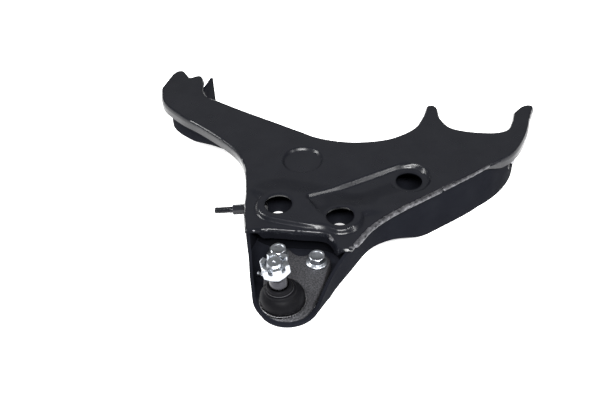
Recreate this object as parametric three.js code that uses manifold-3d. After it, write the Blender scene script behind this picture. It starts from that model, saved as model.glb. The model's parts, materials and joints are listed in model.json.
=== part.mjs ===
// Lower control arm of a car's front suspension: a two-shell pressed arm with a bolted ball joint,
// a short bush at the front leg and a long bush in the rear yoke.
// Millimetres. +X runs along the pivot axis towards the rear yoke, +Y from the ball joint towards the
// pivot axis, +Z up. The origin is on the ball joint's axis, at the flat foot of its bottom cap.

import * as THREE from "three";
import { mergeVertices } from "three/addons/utils/BufferGeometryUtils.js";
import Module from "manifold-3d";

const wasm = await Module();
wasm.setup();

// ---------------------------------------------------------------- driving dimensions
const GAP = 0.3; // clearance between pieces that touch

const PLATE_TOP = 48; // height of the upper shell's flat top
const SHEET = 3; // thickness of the upper shell
const LIP_DEPTH = 12; // how far the upper shell's edge turns down
const LIP_ROUND = 2; // radius of that bend
const WALL = 3.2; // thickness of the lower shell
const TRAY_TOP = PLATE_TOP - SHEET - GAP;

const HOLE_RADIUS = 14; // the three large holes in the upper shell
const DRAIN_RADIUS = 8;
const DRAINS = [[-46.5, 127], [21, 125]]; // the two smaller holes in the lower shell
const FRONT_HOLES = [[-38.5, 109.5], [26.5, 107.5]];
const BACK_HOLE = [81, 188];
const PAD_RADIUS = 21; // raised pad round the two front holes
const PAD_RISE = 4;
const PAD_END = 132.9; // the pad is cut off behind this line
const RECESS_DEPTH = 3.5;
const DISC = { at: [-37, 190], outer: 22.5, inner: 19, depth: 3 };

const PIVOT = { y: 291, z: 20 }; // the bushes' common axis, along X
const TUBE_OUTER = 17.5;
const TUBE_INNER = 15;
const SLEEVE_OUTER = 10.5;
const SLEEVE_BORE = 6.2;
const EAR_HOLE = 13; // radius of the hole in each ear that the sleeve comes through
const FRONT_EARS = [-233, -193]; // outer faces of the front leg's two ears
const REAR_EARS = [80, 185]; // outer faces of the rear yoke's two ears
const SLEEVE_PROUD = 1.5; // how far a sleeve stands out of its ears

const BALL = { radius: 13, z: 30, seatGap: 0.4 };
const STUD_TOP = [-4, -4, 88]; // where the leaning ball stud ends at rest
const POCKET_CENTRE = [5, 2]; // the pocket's round nose in the lower shell
const POCKET_RADIUS = 29.6;
const NOSE = [[-60, 29.5], [-2, 29.5], [28, 17.9]]; // [y, z] of the nose's underside, raised in front
const POCKET_FLOOR = 21.2; // inside face of the lower shell's floor round the ball joint
const FLANGE_TOP = 33; // top face of the ball joint's forged flange
const FLANGE_BOLTS = [[-22.5, 57], [16.5, 57]];
const BOLT = { shank: 5, head: 15, headTop: 9.2, washer: 10.7, nut: 16, nutHeight: 9 };
const FLANGE_ROUND = { at: [3.4, 1.1], radius: 24.6 }; // the flange's round part in the pocket's nose
const HOUSING_FOOT = 16.2; // the origin's height on the scale that all these heights are measured on
const CAP = { radius: 10, top: 17.2 }; // closes the housing from below
const BOOT = { foot: 33.4, neck: 58, radius: 20.7, bore: 18.6 };
const NIPPLE_AT = [-29.6, 33.5, 27.5]; // the grease nipple's root in the flange's left side
const NUT = { foot: 75.5, top: 87.6, acrossFlats: 24, slotDepth: 5.4 };
const PIN_HOLE_Z = 72.6; // height of the split pin's hole, just below the nut as it is delivered

const SIDE_STUD = { at: [-67, 121.4], z: 29.5, direction: [-0.948, -0.318], shoulder: 25, length: 44 };

// ---------------------------------------------------------------- solids
function vertexCount(geometry) {
  return geometry.attributes.position.count;
}

// Six times the volume that a closed triangle mesh encloses, negative when its faces point in.
function signedVolume(positions, index) {
  const a = new THREE.Vector3();
  const b = new THREE.Vector3();
  const c = new THREE.Vector3();
  let sum = 0;
  for (let i = 0; i < index.length; i += 3) {
    a.fromArray(positions, 3 * index[i]);
    b.fromArray(positions, 3 * index[i + 1]);
    c.fromArray(positions, 3 * index[i + 2]);
    sum += a.dot(b.cross(c));
  }
  return sum;
}

// A closed three.js geometry as a solid that can be joined and cut.
function solid(geometry) {
  const bare = geometry.clone();
  bare.deleteAttribute("normal");
  bare.deleteAttribute("uv");
  const merged = mergeVertices(bare, 1e-4);
  const positions = new Float32Array(merged.attributes.position.array);
  const kept = [];
  const index = merged.index.array;
  for (let i = 0; i < index.length; i += 3) {
    const [a, b, c] = [index[i], index[i + 1], index[i + 2]];
    if (a !== b && b !== c && c !== a) kept.push(a, b, c);
  }
  if (signedVolume(positions, kept) < 0) {
    for (let i = 0; i < kept.length; i += 3) [kept[i + 1], kept[i + 2]] = [kept[i + 2], kept[i + 1]];
  }
  const mesh = { numProp: 3, vertProperties: positions, triVerts: new Uint32Array(kept) };
  return new wasm.Manifold(new wasm.Mesh(mesh));
}

function geometryOf(body) {
  const mesh = body.getMesh();
  const geometry = new THREE.BufferGeometry();
  const positions = new Float32Array(mesh.vertProperties);
  geometry.setAttribute("position", new THREE.BufferAttribute(positions, 3));
  geometry.setIndex(new THREE.BufferAttribute(new Uint32Array(mesh.triVerts), 1));
  geometry.computeVertexNormals();
  return geometry;
}

function box(x0, x1, y0, y1, z0, z1) {
  const geometry = new THREE.BoxGeometry(x1 - x0, y1 - y0, z1 - z0);
  geometry.translate((x0 + x1) / 2, (y0 + y1) / 2, (z0 + z1) / 2);
  return solid(geometry);
}

// A solid turned about Z from [radius, height] points. A profile that leaves the axis closes on itself.
function turned(profile, segments = 24) {
  const points = profile.map(([r, z]) => new THREE.Vector2(r, z));
  const onAxis = profile[0][0] === 0 && profile[profile.length - 1][0] === 0;
  if (!onAxis) points.push(points[0].clone());
  return new THREE.LatheGeometry(points, segments).rotateX(Math.PI / 2);
}

function upright(x, y, z0, z1, radius, segments = 24) {
  return solid(turned([[0, z0], [radius, z0], [radius, z1], [0, z1]], segments).translate(x, y, 0));
}

// A cylinder or ring about the bushes' axis, from x0 to x1.
function alongPivot(profile, segments = 24) {
  return solid(turned(profile, segments).rotateY(Math.PI / 2).translate(0, PIVOT.y, PIVOT.z));
}

// Stacks outlines with the same number of points, each [points, z] from the foot up, into one solid.
function stacked(layers) {
  const count = layers[0][0].length;
  const positions = [];
  for (const [points, z] of layers) for (const p of points) positions.push(p.x, p.y, z);
  const index = [];
  for (let k = 0; k + 1 < layers.length; k++) {
    for (let i = 0; i < count; i++) {
      const j = (i + 1) % count;
      const [a, b, c, d] = [k * count + i, k * count + j, (k + 1) * count + j, (k + 1) * count + i];
      index.push(a, b, c, a, c, d);
    }
  }
  const lastLayer = layers.length - 1;
  const footFaces = THREE.ShapeUtils.triangulateShape(layers[0][0], []);
  const topFaces = THREE.ShapeUtils.triangulateShape(layers[lastLayer][0], []);
  for (const [a, b, c] of footFaces) index.push(a, c, b);
  for (const [a, b, c] of topFaces) {
    const top = lastLayer * count;
    index.push(top + a, top + b, top + c);
  }
  const geometry = new THREE.BufferGeometry();
  geometry.setAttribute("position", new THREE.Float32BufferAttribute(positions, 3));
  geometry.setIndex(index);
  return solid(geometry);
}

function prism(points, z0, z1) {
  return stacked([[points, z0], [points, z1]]);
}

// ---------------------------------------------------------------- outlines in plan
// Joins stretches, each a list of [x, y], into one closed outline that runs anticlockwise.
// A stretch of two points is straight and a longer one is a smooth curve.
function outline(stretches, divisions = 2) {
  const points = [];
  for (const stretch of stretches) {
    const corners = stretch.map(([x, y]) => new THREE.Vector2(x, y));
    const smooth = corners.length > 2;
    const steps = divisions * (corners.length - 1);
    for (const p of smooth ? new THREE.SplineCurve(corners).getPoints(steps) : corners) {
      if (!points.length || points[points.length - 1].distanceTo(p) > 0.5) points.push(p);
    }
  }
  if (points[0].distanceTo(points[points.length - 1]) < 0.5) points.pop();
  if (THREE.ShapeUtils.area(points) < 0) points.reverse();
  return points;
}

// An arc as points for a stretch, angles in degrees.
function arc(cx, cy, radius, from, to, steps = 8) {
  const points = [];
  for (let i = 0; i <= steps; i++) {
    const angle = THREE.MathUtils.degToRad(from + ((to - from) * i) / steps);
    points.push([cx + radius * Math.cos(angle), cy + radius * Math.sin(angle)]);
  }
  return points;
}

// The same outline moved inwards by a distance, point by point.
function inset(points, distance) {
  const count = points.length;
  return points.map((p, i) => {
    const before = points[(i + count - 1) % count];
    const after = points[(i + 1) % count];
    const d1 = new THREE.Vector2().subVectors(p, before).normalize();
    const d2 = new THREE.Vector2().subVectors(after, p).normalize();
    const normal = new THREE.Vector2(-d1.y - d2.y, d1.x + d2.x).normalize();
    const stretch = Math.min(1 / Math.max(normal.dot(new THREE.Vector2(-d1.y, d1.x)), 0.5), 1.6);
    return new THREE.Vector2().copy(p).addScaledVector(normal, distance * stretch);
  });
}

// Distance from a point to the nearest edge of an outline.
function edgeDistance(p, points) {
  let nearest = Infinity;
  const edge = new THREE.Line3();
  const foot = new THREE.Vector3();
  const from = new THREE.Vector3(p.x, p.y, 0);
  for (let i = 0; i < points.length; i++) {
    const [a, b] = [points[i], points[(i + 1) % points.length]];
    edge.set(new THREE.Vector3(a.x, a.y, 0), new THREE.Vector3(b.x, b.y, 0));
    edge.closestPointToPoint(from, true, foot);
    nearest = Math.min(nearest, foot.distanceTo(from));
  }
  return nearest;
}

// An inset that leaves out the points where a tight bend would fold the moved outline over itself.
function cleanInset(points, distance) {
  const moved = inset(points, distance);
  return moved.filter((p) => edgeDistance(p, points) > Math.abs(distance) - 0.06);
}

// A run of points as straight stretches, one from each point to the next.
function chords(points) {
  return points.slice(1).map((p, i) => [points[i], p]);
}

// Stadium round two points.
function slotOutline([ax, ay], [bx, by], radius, steps = 10) {
  const tilt = THREE.MathUtils.radToDeg(Math.atan2(by - ay, bx - ax));
  return outline([
    ...chords(arc(bx, by, radius, tilt - 90, tilt + 90, steps)),
    ...chords(arc(ax, ay, radius, tilt + 90, tilt + 270, steps)),
  ]);
}

const LEFT_EDGE = [
  [-59.5, 68], [-75, 111], [-82, 134], [-94.5, 164], [-111, 186], [-138, 205], [-169, 222], [-199, 236],
  [-229, 257], [-243, 286],
];
const FRONT_LEG_END = [
  [[-243, 286], [-243, 318]],
  [[-243, 318], [-239, 326], [-232, 327], [-225, 320]],
  [[-219, 314], [-212, 321], [-206, 321], [-200, 312]],
  [[-200, 312], [-194, 294], [-183, 280], [-167, 275]],
];
const BACK_EDGE = [
  [-167, 275], [-128, 262], [-88, 250], [-55, 240], [-29, 233], [5, 234], [37, 245], [56, 259],
  [71, 280], [76, 306],
];
const YOKE = [
  [[76, 306], [76, 325]],
  [[76, 325], [82, 328], [88, 324], [90, 317]],
  [[90, 317], [95, 304], [107, 290], [121, 286], [143, 287], [163, 292], [174, 302], [177, 318]],
  [[177, 318], [177, 336]],
  [[177, 336], [184, 350], [192, 356], [198, 353], [196, 339]],
];
const RIGHT_EDGE = [
  [196, 339], [195, 300], [186, 262], [167, 236], [143, 209], [116, 177], [90, 147], [73, 127],
  [58, 102], [48, 67],
];
const MOUTH = [[48, 67], [36, 65], [28, 76], [17, 83], [-7, 80], [-36, 76], [-47, 72], [-59.5, 68]];

const plateOutline = outline([LEFT_EDGE, ...FRONT_LEG_END, BACK_EDGE, ...YOKE, RIGHT_EDGE, MOUTH]);

const trayOutline = outline([
  [
    [-58.5, 66], [-54, 57], [-44, 33], [-39.3, 20.8], [-32.8, 6], [-27.4, -6], [-21.8, -13.8], [-13.2, -21.2],
  ],
  arc(...POCKET_CENTRE, POCKET_RADIUS, 232, 350, 10),
  [
    [34.6, -1], [38, 33], [48, 67], [58, 102], [73, 127], [90, 147], [116, 177], [143, 209], [155, 226],
    [166, 242], [178, 268], [183.5, 288], [REAR_EARS[1], 304],
  ],
  [[REAR_EARS[1], 304], [REAR_EARS[1], 338]],
  [[REAR_EARS[1], 338], [REAR_EARS[0], 319]],
  [[REAR_EARS[0], 319], [REAR_EARS[0], 306]],
  [
    [REAR_EARS[0], 306], [78.5, 292], [74.7, 277.4], [59.7, 256.4], [39.7, 241.4], [5.7, 229.5],
    [-29, 228.5], [-56, 235.6], [-89, 245.7], [-129, 257.7], [-168, 270.6], [-180, 275.5], [-189, 285],
    [FRONT_EARS[1], 299],
  ],
  [[FRONT_EARS[1], 299], [FRONT_EARS[1], 325]],
  [[FRONT_EARS[1], 325], [FRONT_EARS[0], 320]],
  [[FRONT_EARS[0], 320], [FRONT_EARS[0], 292]],
  [
    [-233, 292], [-229, 272], [-216, 259], [-194, 247], [-165, 233], [-134, 215], [-105, 195], [-86, 171],
    [-71, 136], [-63, 109], [-58.5, 86], [-58.5, 66],
  ],
]);

// ---------------------------------------------------------------- pressed shells
const LOWEST = -12;
// Height of the lower shell's underside along X: deep under both legs, shallow between them.
const KEEL = [
  [-260, 3], [-190, 3], [-137, 20], [-100, 18], [48, 18], [66, 11], [84, 2], [102, LOWEST], [260, LOWEST],
];
// Height of its upper edge along Y: the pocket's rim climbs from the ball joint up to the plate.
// Behind the bushes the ears taper up to the plate.
const RIM = [
  [-60, 34], [0, 34.5], [30, 40], [55, 47], [63.5, 47.8], [63.6, TRAY_TOP], [352, TRAY_TOP], [346, 33],
  [334, 14], [318, -2], [304, -20],
];

// The slab between the keel line, raised by a distance, and a level top.
function aboveKeel(raise, top) {
  const points = KEEL.map(([x, z]) => new THREE.Vector2(x, z + raise));
  const profile = new THREE.Shape([...points, new THREE.Vector2(260, top), new THREE.Vector2(-260, top)]);
  const geometry = new THREE.ExtrudeGeometry(profile, { depth: 500, bevelEnabled: false });
  return solid(geometry.rotateX(Math.PI / 2).translate(0, 420, 0));
}

// A side profile of [y, z] points, extruded along X from x0 to x1.
function acrossX(profile, x0, x1) {
  const shape = new THREE.Shape(profile.map(([y, z]) => new THREE.Vector2(y, z)));
  const geometry = new THREE.ExtrudeGeometry(shape, { depth: x1 - x0, bevelEnabled: false });
  return solid(geometry.rotateX(Math.PI / 2).rotateZ(Math.PI / 2).translate(x0, 0, 0));
}

function belowRim() {
  return acrossX([[-60, -20], ...RIM], -260, 260);
}

// What is left out under the nose, raised by a distance.
function underNose(raise) {
  const top = NOSE.map(([y, z]) => [y, z + raise]);
  return acrossX([[-60, -20], ...top, [28, -20]], -60, 60);
}

function flangeRound(grow) {
  return upright(...FLANGE_ROUND.at, 0, 60, FLANGE_ROUND.radius + grow, 36);
}

function pivotClearance(x0, x1, radius) {
  return alongPivot([[0, x0], [radius, x0], [radius, x1], [0, x1]]);
}

function sideStudFrame(geometry) {
  const heading = Math.atan2(SIDE_STUD.direction[1], SIDE_STUD.direction[0]);
  const [x, y] = SIDE_STUD.at;
  return geometry.rotateY(Math.PI / 2).rotateZ(heading).translate(x, y, SIDE_STUD.z);
}

function lowerShell() {
  const edgeTop = PLATE_TOP + 2;
  const foot = LOWEST - 1;
  const outside = prism(trayOutline, foot, edgeTop).intersect(aboveKeel(0, edgeTop)).intersect(belowRim());
  const inner = prism(cleanInset(trayOutline, WALL), foot, edgeTop);
  const hollow = inner.intersect(aboveKeel(WALL, edgeTop + 1)).subtract(underNose(WALL));
  const seam = prism(cleanInset(plateOutline, SHEET + GAP), TRAY_TOP - WALL, TRAY_TOP);
  let shell = outside.add(seam).subtract(hollow).subtract(underNose(0));
  // The bays for the bushes have no floor, and no wall between the ears' ends.
  const inside = prism(cleanInset(trayOutline, WALL), -20, 60);
  const bayFront = PIVOT.y - TUBE_OUTER - 8;
  for (const [x0, x1] of [FRONT_EARS, REAR_EARS]) {
    shell = shell.subtract(box(x0, x1, bayFront, 400, -20, 60).intersect(inside));
    shell = shell.subtract(box(x0 + WALL, x1 - WALL, PIVOT.y + TUBE_OUTER, 400, -20, 60));
  }
  shell = shell.subtract(pivotClearance(FRONT_EARS[0] - 20, REAR_EARS[1] + 20, EAR_HOLE));
  for (const [x0, x1] of [FRONT_EARS, REAR_EARS]) {
    shell = shell.subtract(pivotClearance(x0 + WALL, x1 - WALL, TUBE_OUTER + GAP));
  }
  for (const [x, y] of DRAINS) shell = shell.subtract(upright(x, y, 0, 40, DRAIN_RADIUS, 20));
  for (const [x, y] of FLANGE_BOLTS) shell = shell.subtract(upright(x, y, 0, 30, BOLT.shank + 0.6, 20));
  shell = shell.subtract(flangeRound(GAP));
  const studHole = sideStudFrame(turned([[0, -12], [4.4, -12], [4.4, 8], [0, 8]], 16));
  return shell.subtract(solid(studHole));
}

// Where the upper shell's edge has no lip, as [x0, x1, y0, y1]: along the welded front edge, at the
// pocket's left corner and at the front leg's inner ear.
const NO_LIP = [[30, 260, 50, 238], [-80, -44, 50, 86], [-206, -160, 262, 340]];
const YOKE_LIP = [91, 177, 262, 322]; // and where it is shorter, over the rear bush
const YOKE_LIP_FOOT = PIVOT.z + TUBE_OUTER + 2;

function upperShell() {
  const top = PLATE_TOP;
  const under = top - SHEET;
  const foot = top - LIP_DEPTH;
  const rounded = [[plateOutline, foot], [plateOutline, top - LIP_ROUND]];
  for (const turn of [45, 90]) {
    const angle = THREE.MathUtils.degToRad(turn);
    const inward = LIP_ROUND * (1 - Math.cos(angle));
    rounded.push([inset(plateOutline, inward), top - LIP_ROUND * (1 - Math.sin(angle))]);
  }
  let shell = stacked(rounded);
  shell = shell.subtract(prism(cleanInset(plateOutline, SHEET), foot - 1, under));
  for (const region of NO_LIP) shell = shell.subtract(box(...region, foot - 1, under));
  shell = shell.subtract(box(...YOKE_LIP, foot - 1, YOKE_LIP_FOOT));
  shell = shell.add(pressedPad()).subtract(padHollow());
  const recess = recessOutline();
  shell = shell.add(prism(cleanInset(recess, -2), under - RECESS_DEPTH, under));
  shell = shell.subtract(stacked([[inset(recess, 3), top - RECESS_DEPTH], [inset(recess, -1), top + 1]]));
  shell = shell.add(upright(...DISC.at, under - DISC.depth, under, DISC.outer));
  const dishFloor = top - DISC.depth;
  const { inner, outer } = DISC;
  const dish = [[0, dishFloor], [inner, dishFloor], [outer, top], [outer, top + 1], [0, top + 1]];
  shell = shell.subtract(solid(turned(dish).translate(...DISC.at, 0)));
  for (const [x, y] of [...FRONT_HOLES, BACK_HOLE]) {
    shell = shell.subtract(upright(x, y, 30, 60, HOLE_RADIUS));
  }
  return shell;
}

function padLayers(grow, drop) {
  const foot = slotOutline(...FRONT_HOLES, PAD_RADIUS + 4 + grow);
  const crown = slotOutline(...FRONT_HOLES, PAD_RADIUS + grow);
  return [[foot, PLATE_TOP - SHEET - drop], [foot, PLATE_TOP - drop], [crown, PLATE_TOP + PAD_RISE - drop]];
}

function pressedPad() {
  return stacked(padLayers(0, 0)).subtract(box(-80, 60, PAD_END, 150, 30, 60));
}

function padHollow() {
  const layers = padLayers(-3, SHEET);
  return stacked([[layers[0][0], PLATE_TOP - SHEET - 4], ...layers.slice(1)]);
}

// The shallow recess that runs from between the front holes to the back hole.
function recessOutline() {
  const [x, y] = BACK_HOLE;
  return outline([
    [[-17, 134], [62, 205]],
    arc(x, y, 23, 135, -50, 10),
    [[88, 163], [64, 141], [50, 134]],
    [[50, 134], [-17, 134]],
  ]);
}

// The closing plate behind the ball joint's pocket.
function pocketWeb() {
  const line = [[-53.5, 85], [-36, 81], [-7, 85], [17, 88], [31, 82], [37, 72], [44.4, 71]];
  const thick = 2.6;
  const front = new THREE.SplineCurve(line.map(([x, y]) => new THREE.Vector2(x, y))).getPoints(24);
  const back = front.map((p) => new THREE.Vector2(p.x, p.y + thick)).reverse();
  return prism([...front, ...back], POCKET_FLOOR + GAP, TRAY_TOP - WALL - 2);
}

// ---------------------------------------------------------------- welds
const EDGE_WELD = [[52, 78], [60, 101], [75, 125], [92, 146], [118, 176], [145, 208], [160, 228]];

// A run of weld metal along a line on the plate's edge, flat on top and wider at its foot.
function weldRun(line, width, height, z) {
  const curve = new THREE.CatmullRomCurve3(line.map(([x, y]) => new THREE.Vector3(x, y, z)));
  const section = new THREE.Shape([
    new THREE.Vector2(-height / 2, -width / 2), new THREE.Vector2(height / 2, -width / 4),
    new THREE.Vector2(height / 2, width / 4), new THREE.Vector2(-height / 2, width / 2),
  ]);
  const options = { steps: 6 * line.length, extrudePath: curve, bevelEnabled: false };
  return solid(new THREE.ExtrudeGeometry(section, options));
}

// ---------------------------------------------------------------- bushes
function ring(x0, x1, inner, outer, segments = 24) {
  return alongPivot([[inner, x0], [outer, x0], [outer, x1], [inner, x1]], segments);
}

function bushTube([left, right]) {
  return ring(left + WALL + GAP, right - WALL - GAP, TUBE_INNER, TUBE_OUTER);
}

function bushRubber(x0, x1) {
  const chamfer = 1.2;
  const [inner, outer] = [SLEEVE_OUTER + GAP, TUBE_INNER - GAP];
  return alongPivot([
    [inner, x0], [outer - chamfer, x0], [outer, x0 + chamfer],
    [outer, x1 - chamfer], [outer - chamfer, x1], [inner, x1],
  ]);
}

function bushSleeve([left, right]) {
  return ring(left - SLEEVE_PROUD, right + SLEEVE_PROUD, SLEEVE_BORE, SLEEVE_OUTER);
}

// ---------------------------------------------------------------- ball joint
// Turns and places something modelled upright on the ball's centre so that it leans as the stud does.
const lean = new THREE.Vector3(STUD_TOP[0], STUD_TOP[1], STUD_TOP[2] - BALL.z).normalize();
const leanTurn = new THREE.Quaternion().setFromUnitVectors(new THREE.Vector3(0, 0, 1), lean);

function leaning(geometry) {
  return geometry.translate(0, 0, -BALL.z).applyQuaternion(leanTurn).translate(0, 0, BALL.z);
}

// Plan of the forged flange: round at the ball, drawn out to a lug at each bolt.
function flangeOutline() {
  const lug = 13;
  const [[leftX, boltY], [rightX]] = FLANGE_BOLTS;
  return outline([
    arc(...FLANGE_ROUND.at, FLANGE_ROUND.radius, 190, 350, 8),
    [[28, 6], [30, 30], [rightX + lug, boltY]],
    arc(rightX, boltY, lug, 10, 90, 5),
    [[rightX - 6, boltY + lug - 1], [(leftX + rightX) / 2, boltY + 5], [leftX + 6, boltY + lug - 1]],
    arc(leftX, boltY, lug, 90, 170, 5),
    [[leftX - lug, boltY], [-29, 30], [-21.5, 6]],
  ]);
}

// Points of an arc round the ball's centre, from one height to another.
function roundBall(radius, z0, z1, steps = 6) {
  const from = Math.asin((z0 - BALL.z) / radius);
  const to = Math.asin((z1 - BALL.z) / radius);
  const points = [];
  for (let i = 0; i <= steps; i++) {
    const angle = from + ((to - from) * i) / steps;
    points.push([radius * Math.cos(angle), BALL.z + radius * Math.sin(angle)]);
  }
  return points;
}

function ballJointHousing() {
  const plan = flangeOutline();
  const foot = POCKET_FLOOR + GAP;
  let housing = stacked([[plan, foot], [plan, FLANGE_TOP - 1.5], [inset(plan, 1.5), FLANGE_TOP]]);
  housing = housing.subtract(underNose(WALL + GAP).subtract(flangeRound(0.1))).subtract(underNose(0));
  const collarTop = 38;
  const collar = BOOT.bore - GAP;
  const cup = [
    [0, HOUSING_FOOT], [12, HOUSING_FOOT], ...roundBall(17, HOUSING_FOOT + 1, BALL.z),
    [17, FLANGE_TOP - 1], [collar, FLANGE_TOP - 1], [collar, collarTop], [0, collarTop],
  ];
  housing = housing.add(solid(turned(cup)));
  const mouth = CAP.radius + GAP;
  const cavity = [
    [0, HOUSING_FOOT - 1], [mouth, HOUSING_FOOT - 1], ...roundBall(14.9, 19.3, BALL.z), [14.9, 35.7],
    [12.1, 35.7], [12.1, 36.4], [16, collarTop + 1], [0, collarTop + 1],
  ];
  housing = housing.subtract(solid(turned(cavity)));
  for (const [x, y] of FLANGE_BOLTS) housing = housing.subtract(upright(x, y, 10, 50, BOLT.shank + 0.4));
  return housing.subtract(nippleSolid(GAP, 7));
}

// The grease nipple lies in the flange's left side and points away from the ball.
function nippleSolid(grow, buried) {
  const profile = [
    [0, -buried], [3 + grow, -buried], [3 + grow, 0], [4 + grow, 0], [4 + grow, 2.6],
    [2.4 + grow, 3.4], [1.9 + grow, 5.2], [2.7 + grow, 6.4], [1.8 + grow, 8], [0, 8],
  ];
  return solid(turned(profile, 12).rotateY(-Math.PI / 2).translate(...NIPPLE_AT));
}

function bottomCap() {
  const { radius, top } = CAP;
  const foot = HOUSING_FOOT;
  return solid(turned([[0, foot], [radius - 1, foot], [radius, foot + 1], [radius, top], [0, top]]));
}

// The plastic shell that the ball turns in.
function ballSeat() {
  const [foot, top] = [BALL.z - 10.4, BALL.z + 5.2];
  const inner = roundBall(BALL.radius + BALL.seatGap, foot, top);
  return solid(turned([...inner, ...roundBall(14.6, foot, top).reverse()]));
}

// A dished spring washer keeps the seat pressed up against the ball.
function preloadWasher() {
  const [low, high, thick] = [CAP.top + GAP, BALL.z - 10.8, 0.8];
  return solid(turned([[9.6, low], [9.6, low + thick], [7.4, high], [7.4, high - thick]]));
}

function ballStud() {
  const r = BALL.radius;
  const flat = BALL.z - 9.6; // the ball is cut flat below, clear of the cap when it tilts
  const top = STUD_TOP[2];
  const profile = [
    [0, flat], ...roundBall(r, flat, BALL.z + 11.6, 8), [5.8, 45], [6.8, 50], [8.4, 56], [8.4, 58], [7.9, 66],
    [7.4, 67], [7.4, top - 1.6], [5.9, top], [1.3, top], [0, top - 1.6],
  ];
  const pinHole = turned([[0, -12], [1.9, -12], [1.9, 12], [0, 12]], 12).rotateX(Math.PI / 2);
  return solid(leaning(turned(profile))).subtract(solid(leaning(pinHole.translate(0, 0, PIN_HOLE_Z))));
}

// A hexagonal prism, and the turned shape that takes its corners off where the two overlap.
function hexagon(acrossFlats, z0, z1, chamfer = 1.2) {
  const corner = acrossFlats / Math.sqrt(3);
  const prismBody = new THREE.CylinderGeometry(corner, corner, z1 - z0, 6).rotateX(Math.PI / 2);
  const flat = acrossFlats / 2;
  const [crown, outside] = [flat + 0.3, corner + 0.1];
  const coned = [
    [0, z0], [crown, z0], [outside, z0 + chamfer], [outside, z1 - chamfer], [crown, z1], [0, z1],
  ];
  return [prismBody.translate(0, 0, (z0 + z1) / 2), turned(coned)];
}

// Six slots in the crown take the split pin.
function castleNut() {
  const [hexBody, tool] = hexagon(NUT.acrossFlats, NUT.foot, NUT.top);
  let nut = solid(leaning(hexBody)).intersect(solid(leaning(tool)));
  for (let i = 0; i < 3; i++) {
    const slot = new THREE.BoxGeometry(40, 4, 8).rotateZ((i * Math.PI) / 3 + Math.PI / 6);
    nut = nut.subtract(solid(leaning(slot.translate(0, 0, NUT.top - NUT.slotDepth + 4))));
  }
  const bore = turned([[0, NUT.foot - 5], [7.7, NUT.foot - 5], [7.7, NUT.top + 5], [0, NUT.top + 5]]);
  return nut.subtract(solid(leaning(bore)));
}

// Outer profile of the rubber boot, then the same curve a wall's thickness further in.
function dustBoot() {
  const wall = 2;
  const { foot, neck, radius, bore } = BOOT;
  const outer = [
    [radius, foot], [radius, 37], [radius - 0.2, 41], [19.4, 46], [17, 51], [13.4, 54.5], [11.6, 56],
    [11.4, neck],
  ];
  const inner = outer.map(([r, z], i) => [i < 2 ? bore : r - wall, i > 1 && i < 6 ? z - 1 : z]).reverse();
  const geometry = turned([...outer, ...inner]);
  return solid(followLean(geometry));
}

// Moves each level sideways so that a boot standing on the housing ends round the leaning stud.
function followLean(geometry) {
  const position = geometry.attributes.position;
  for (let i = 0; i < vertexCount(geometry); i++) {
    const z = position.getZ(i);
    const rise = THREE.MathUtils.smoothstep(z, BOOT.foot + 2, BOOT.neck);
    const along = ((z - BALL.z) * rise) / lean.z;
    position.setX(i, position.getX(i) + lean.x * along);
    position.setY(i, position.getY(i) + lean.y * along);
  }
  return geometry;
}

function bootBaseRing() {
  const [inner, outer] = [BOOT.radius + GAP, 22.2];
  const [low, high] = [FLANGE_TOP + 1.6, 37.4];
  return solid(turned([[inner, low], [outer, low], [outer, high], [inner, high]]));
}

function bootNeckRing() {
  return solid(followLean(turned([[11.9, 56.2], [13, 56.2], [13, 58], [11.9, 58]])));
}

// ---------------------------------------------------------------- fasteners
function flangeBolt(x, y) {
  const foot = FLANGE_TOP + GAP;
  const { shank, head, headTop, washer } = BOLT;
  const [hexBody, tool] = hexagon(head, foot, foot + headTop);
  let bolt = solid(hexBody.translate(x, y, 0)).intersect(solid(tool.translate(x, y, 0)));
  const disc = [[0, foot], [washer, foot], [washer, foot + 1.4], [head / 2, foot + 3], [0, foot + 3]];
  bolt = bolt.add(solid(turned(disc).translate(x, y, 0)));
  return bolt.add(upright(x, y, 5, foot + 1, shank, 20));
}

function flangeNut(x, y) {
  const top = POCKET_FLOOR - WALL - GAP;
  const [hexBody, tool] = hexagon(BOLT.nut, top - BOLT.nutHeight, top);
  const nut = solid(hexBody.translate(x, y, 0)).intersect(solid(tool.translate(x, y, 0)));
  return nut.subtract(upright(x, y, 0, 30, BOLT.shank + GAP, 20));
}

function sideStud() {
  const { shoulder, length } = SIDE_STUD;
  const [hexBody, tool] = hexagon(10, 0.6, shoulder, 0.8);
  const hexPart = solid(sideStudFrame(hexBody)).intersect(solid(sideStudFrame(tool)));
  const shank = [[0, -9.5], [3.6, -9.5], [3.6, length - 1.5], [2.6, length], [0, length]];
  return hexPart.add(solid(sideStudFrame(turned(shank, 16))));
}

function sideStudNut() {
  const [hexBody, tool] = hexagon(13, -11, -4.6, 0.8);
  const nut = solid(sideStudFrame(hexBody)).intersect(solid(sideStudFrame(tool)));
  return nut.subtract(solid(sideStudFrame(turned([[0, -14], [3.9, -14], [3.9, 0], [0, 0]], 16))));
}

// ---------------------------------------------------------------- assembly
const blackPaint = { color: 0x1b1c1f, roughness: 0.42, metalness: 0.1 };
const weldMetal = { color: 0x3a3b3e, roughness: 0.5, metalness: 0.5 };
const forging = { color: 0x4a4b4e, roughness: 0.6, metalness: 0.5 };
const zinc = { color: 0xc8c9c4, roughness: 0.3, metalness: 0.9 };
const steel = { color: 0x8a8c90, roughness: 0.4, metalness: 0.9 };
const rubber = { color: 0x17181a, roughness: 0.75, metalness: 0 };
const plastic = { color: 0xd9d6c8, roughness: 0.5, metalness: 0 };

const arm = new THREE.Group();

function add(name, look, body) {
  const geometry = geometryOf(body).translate(0, 0, -HOUSING_FOOT);
  const mesh = new THREE.Mesh(geometry, new THREE.MeshStandardMaterial(look));
  mesh.name = name;
  arm.add(mesh);
}

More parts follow.
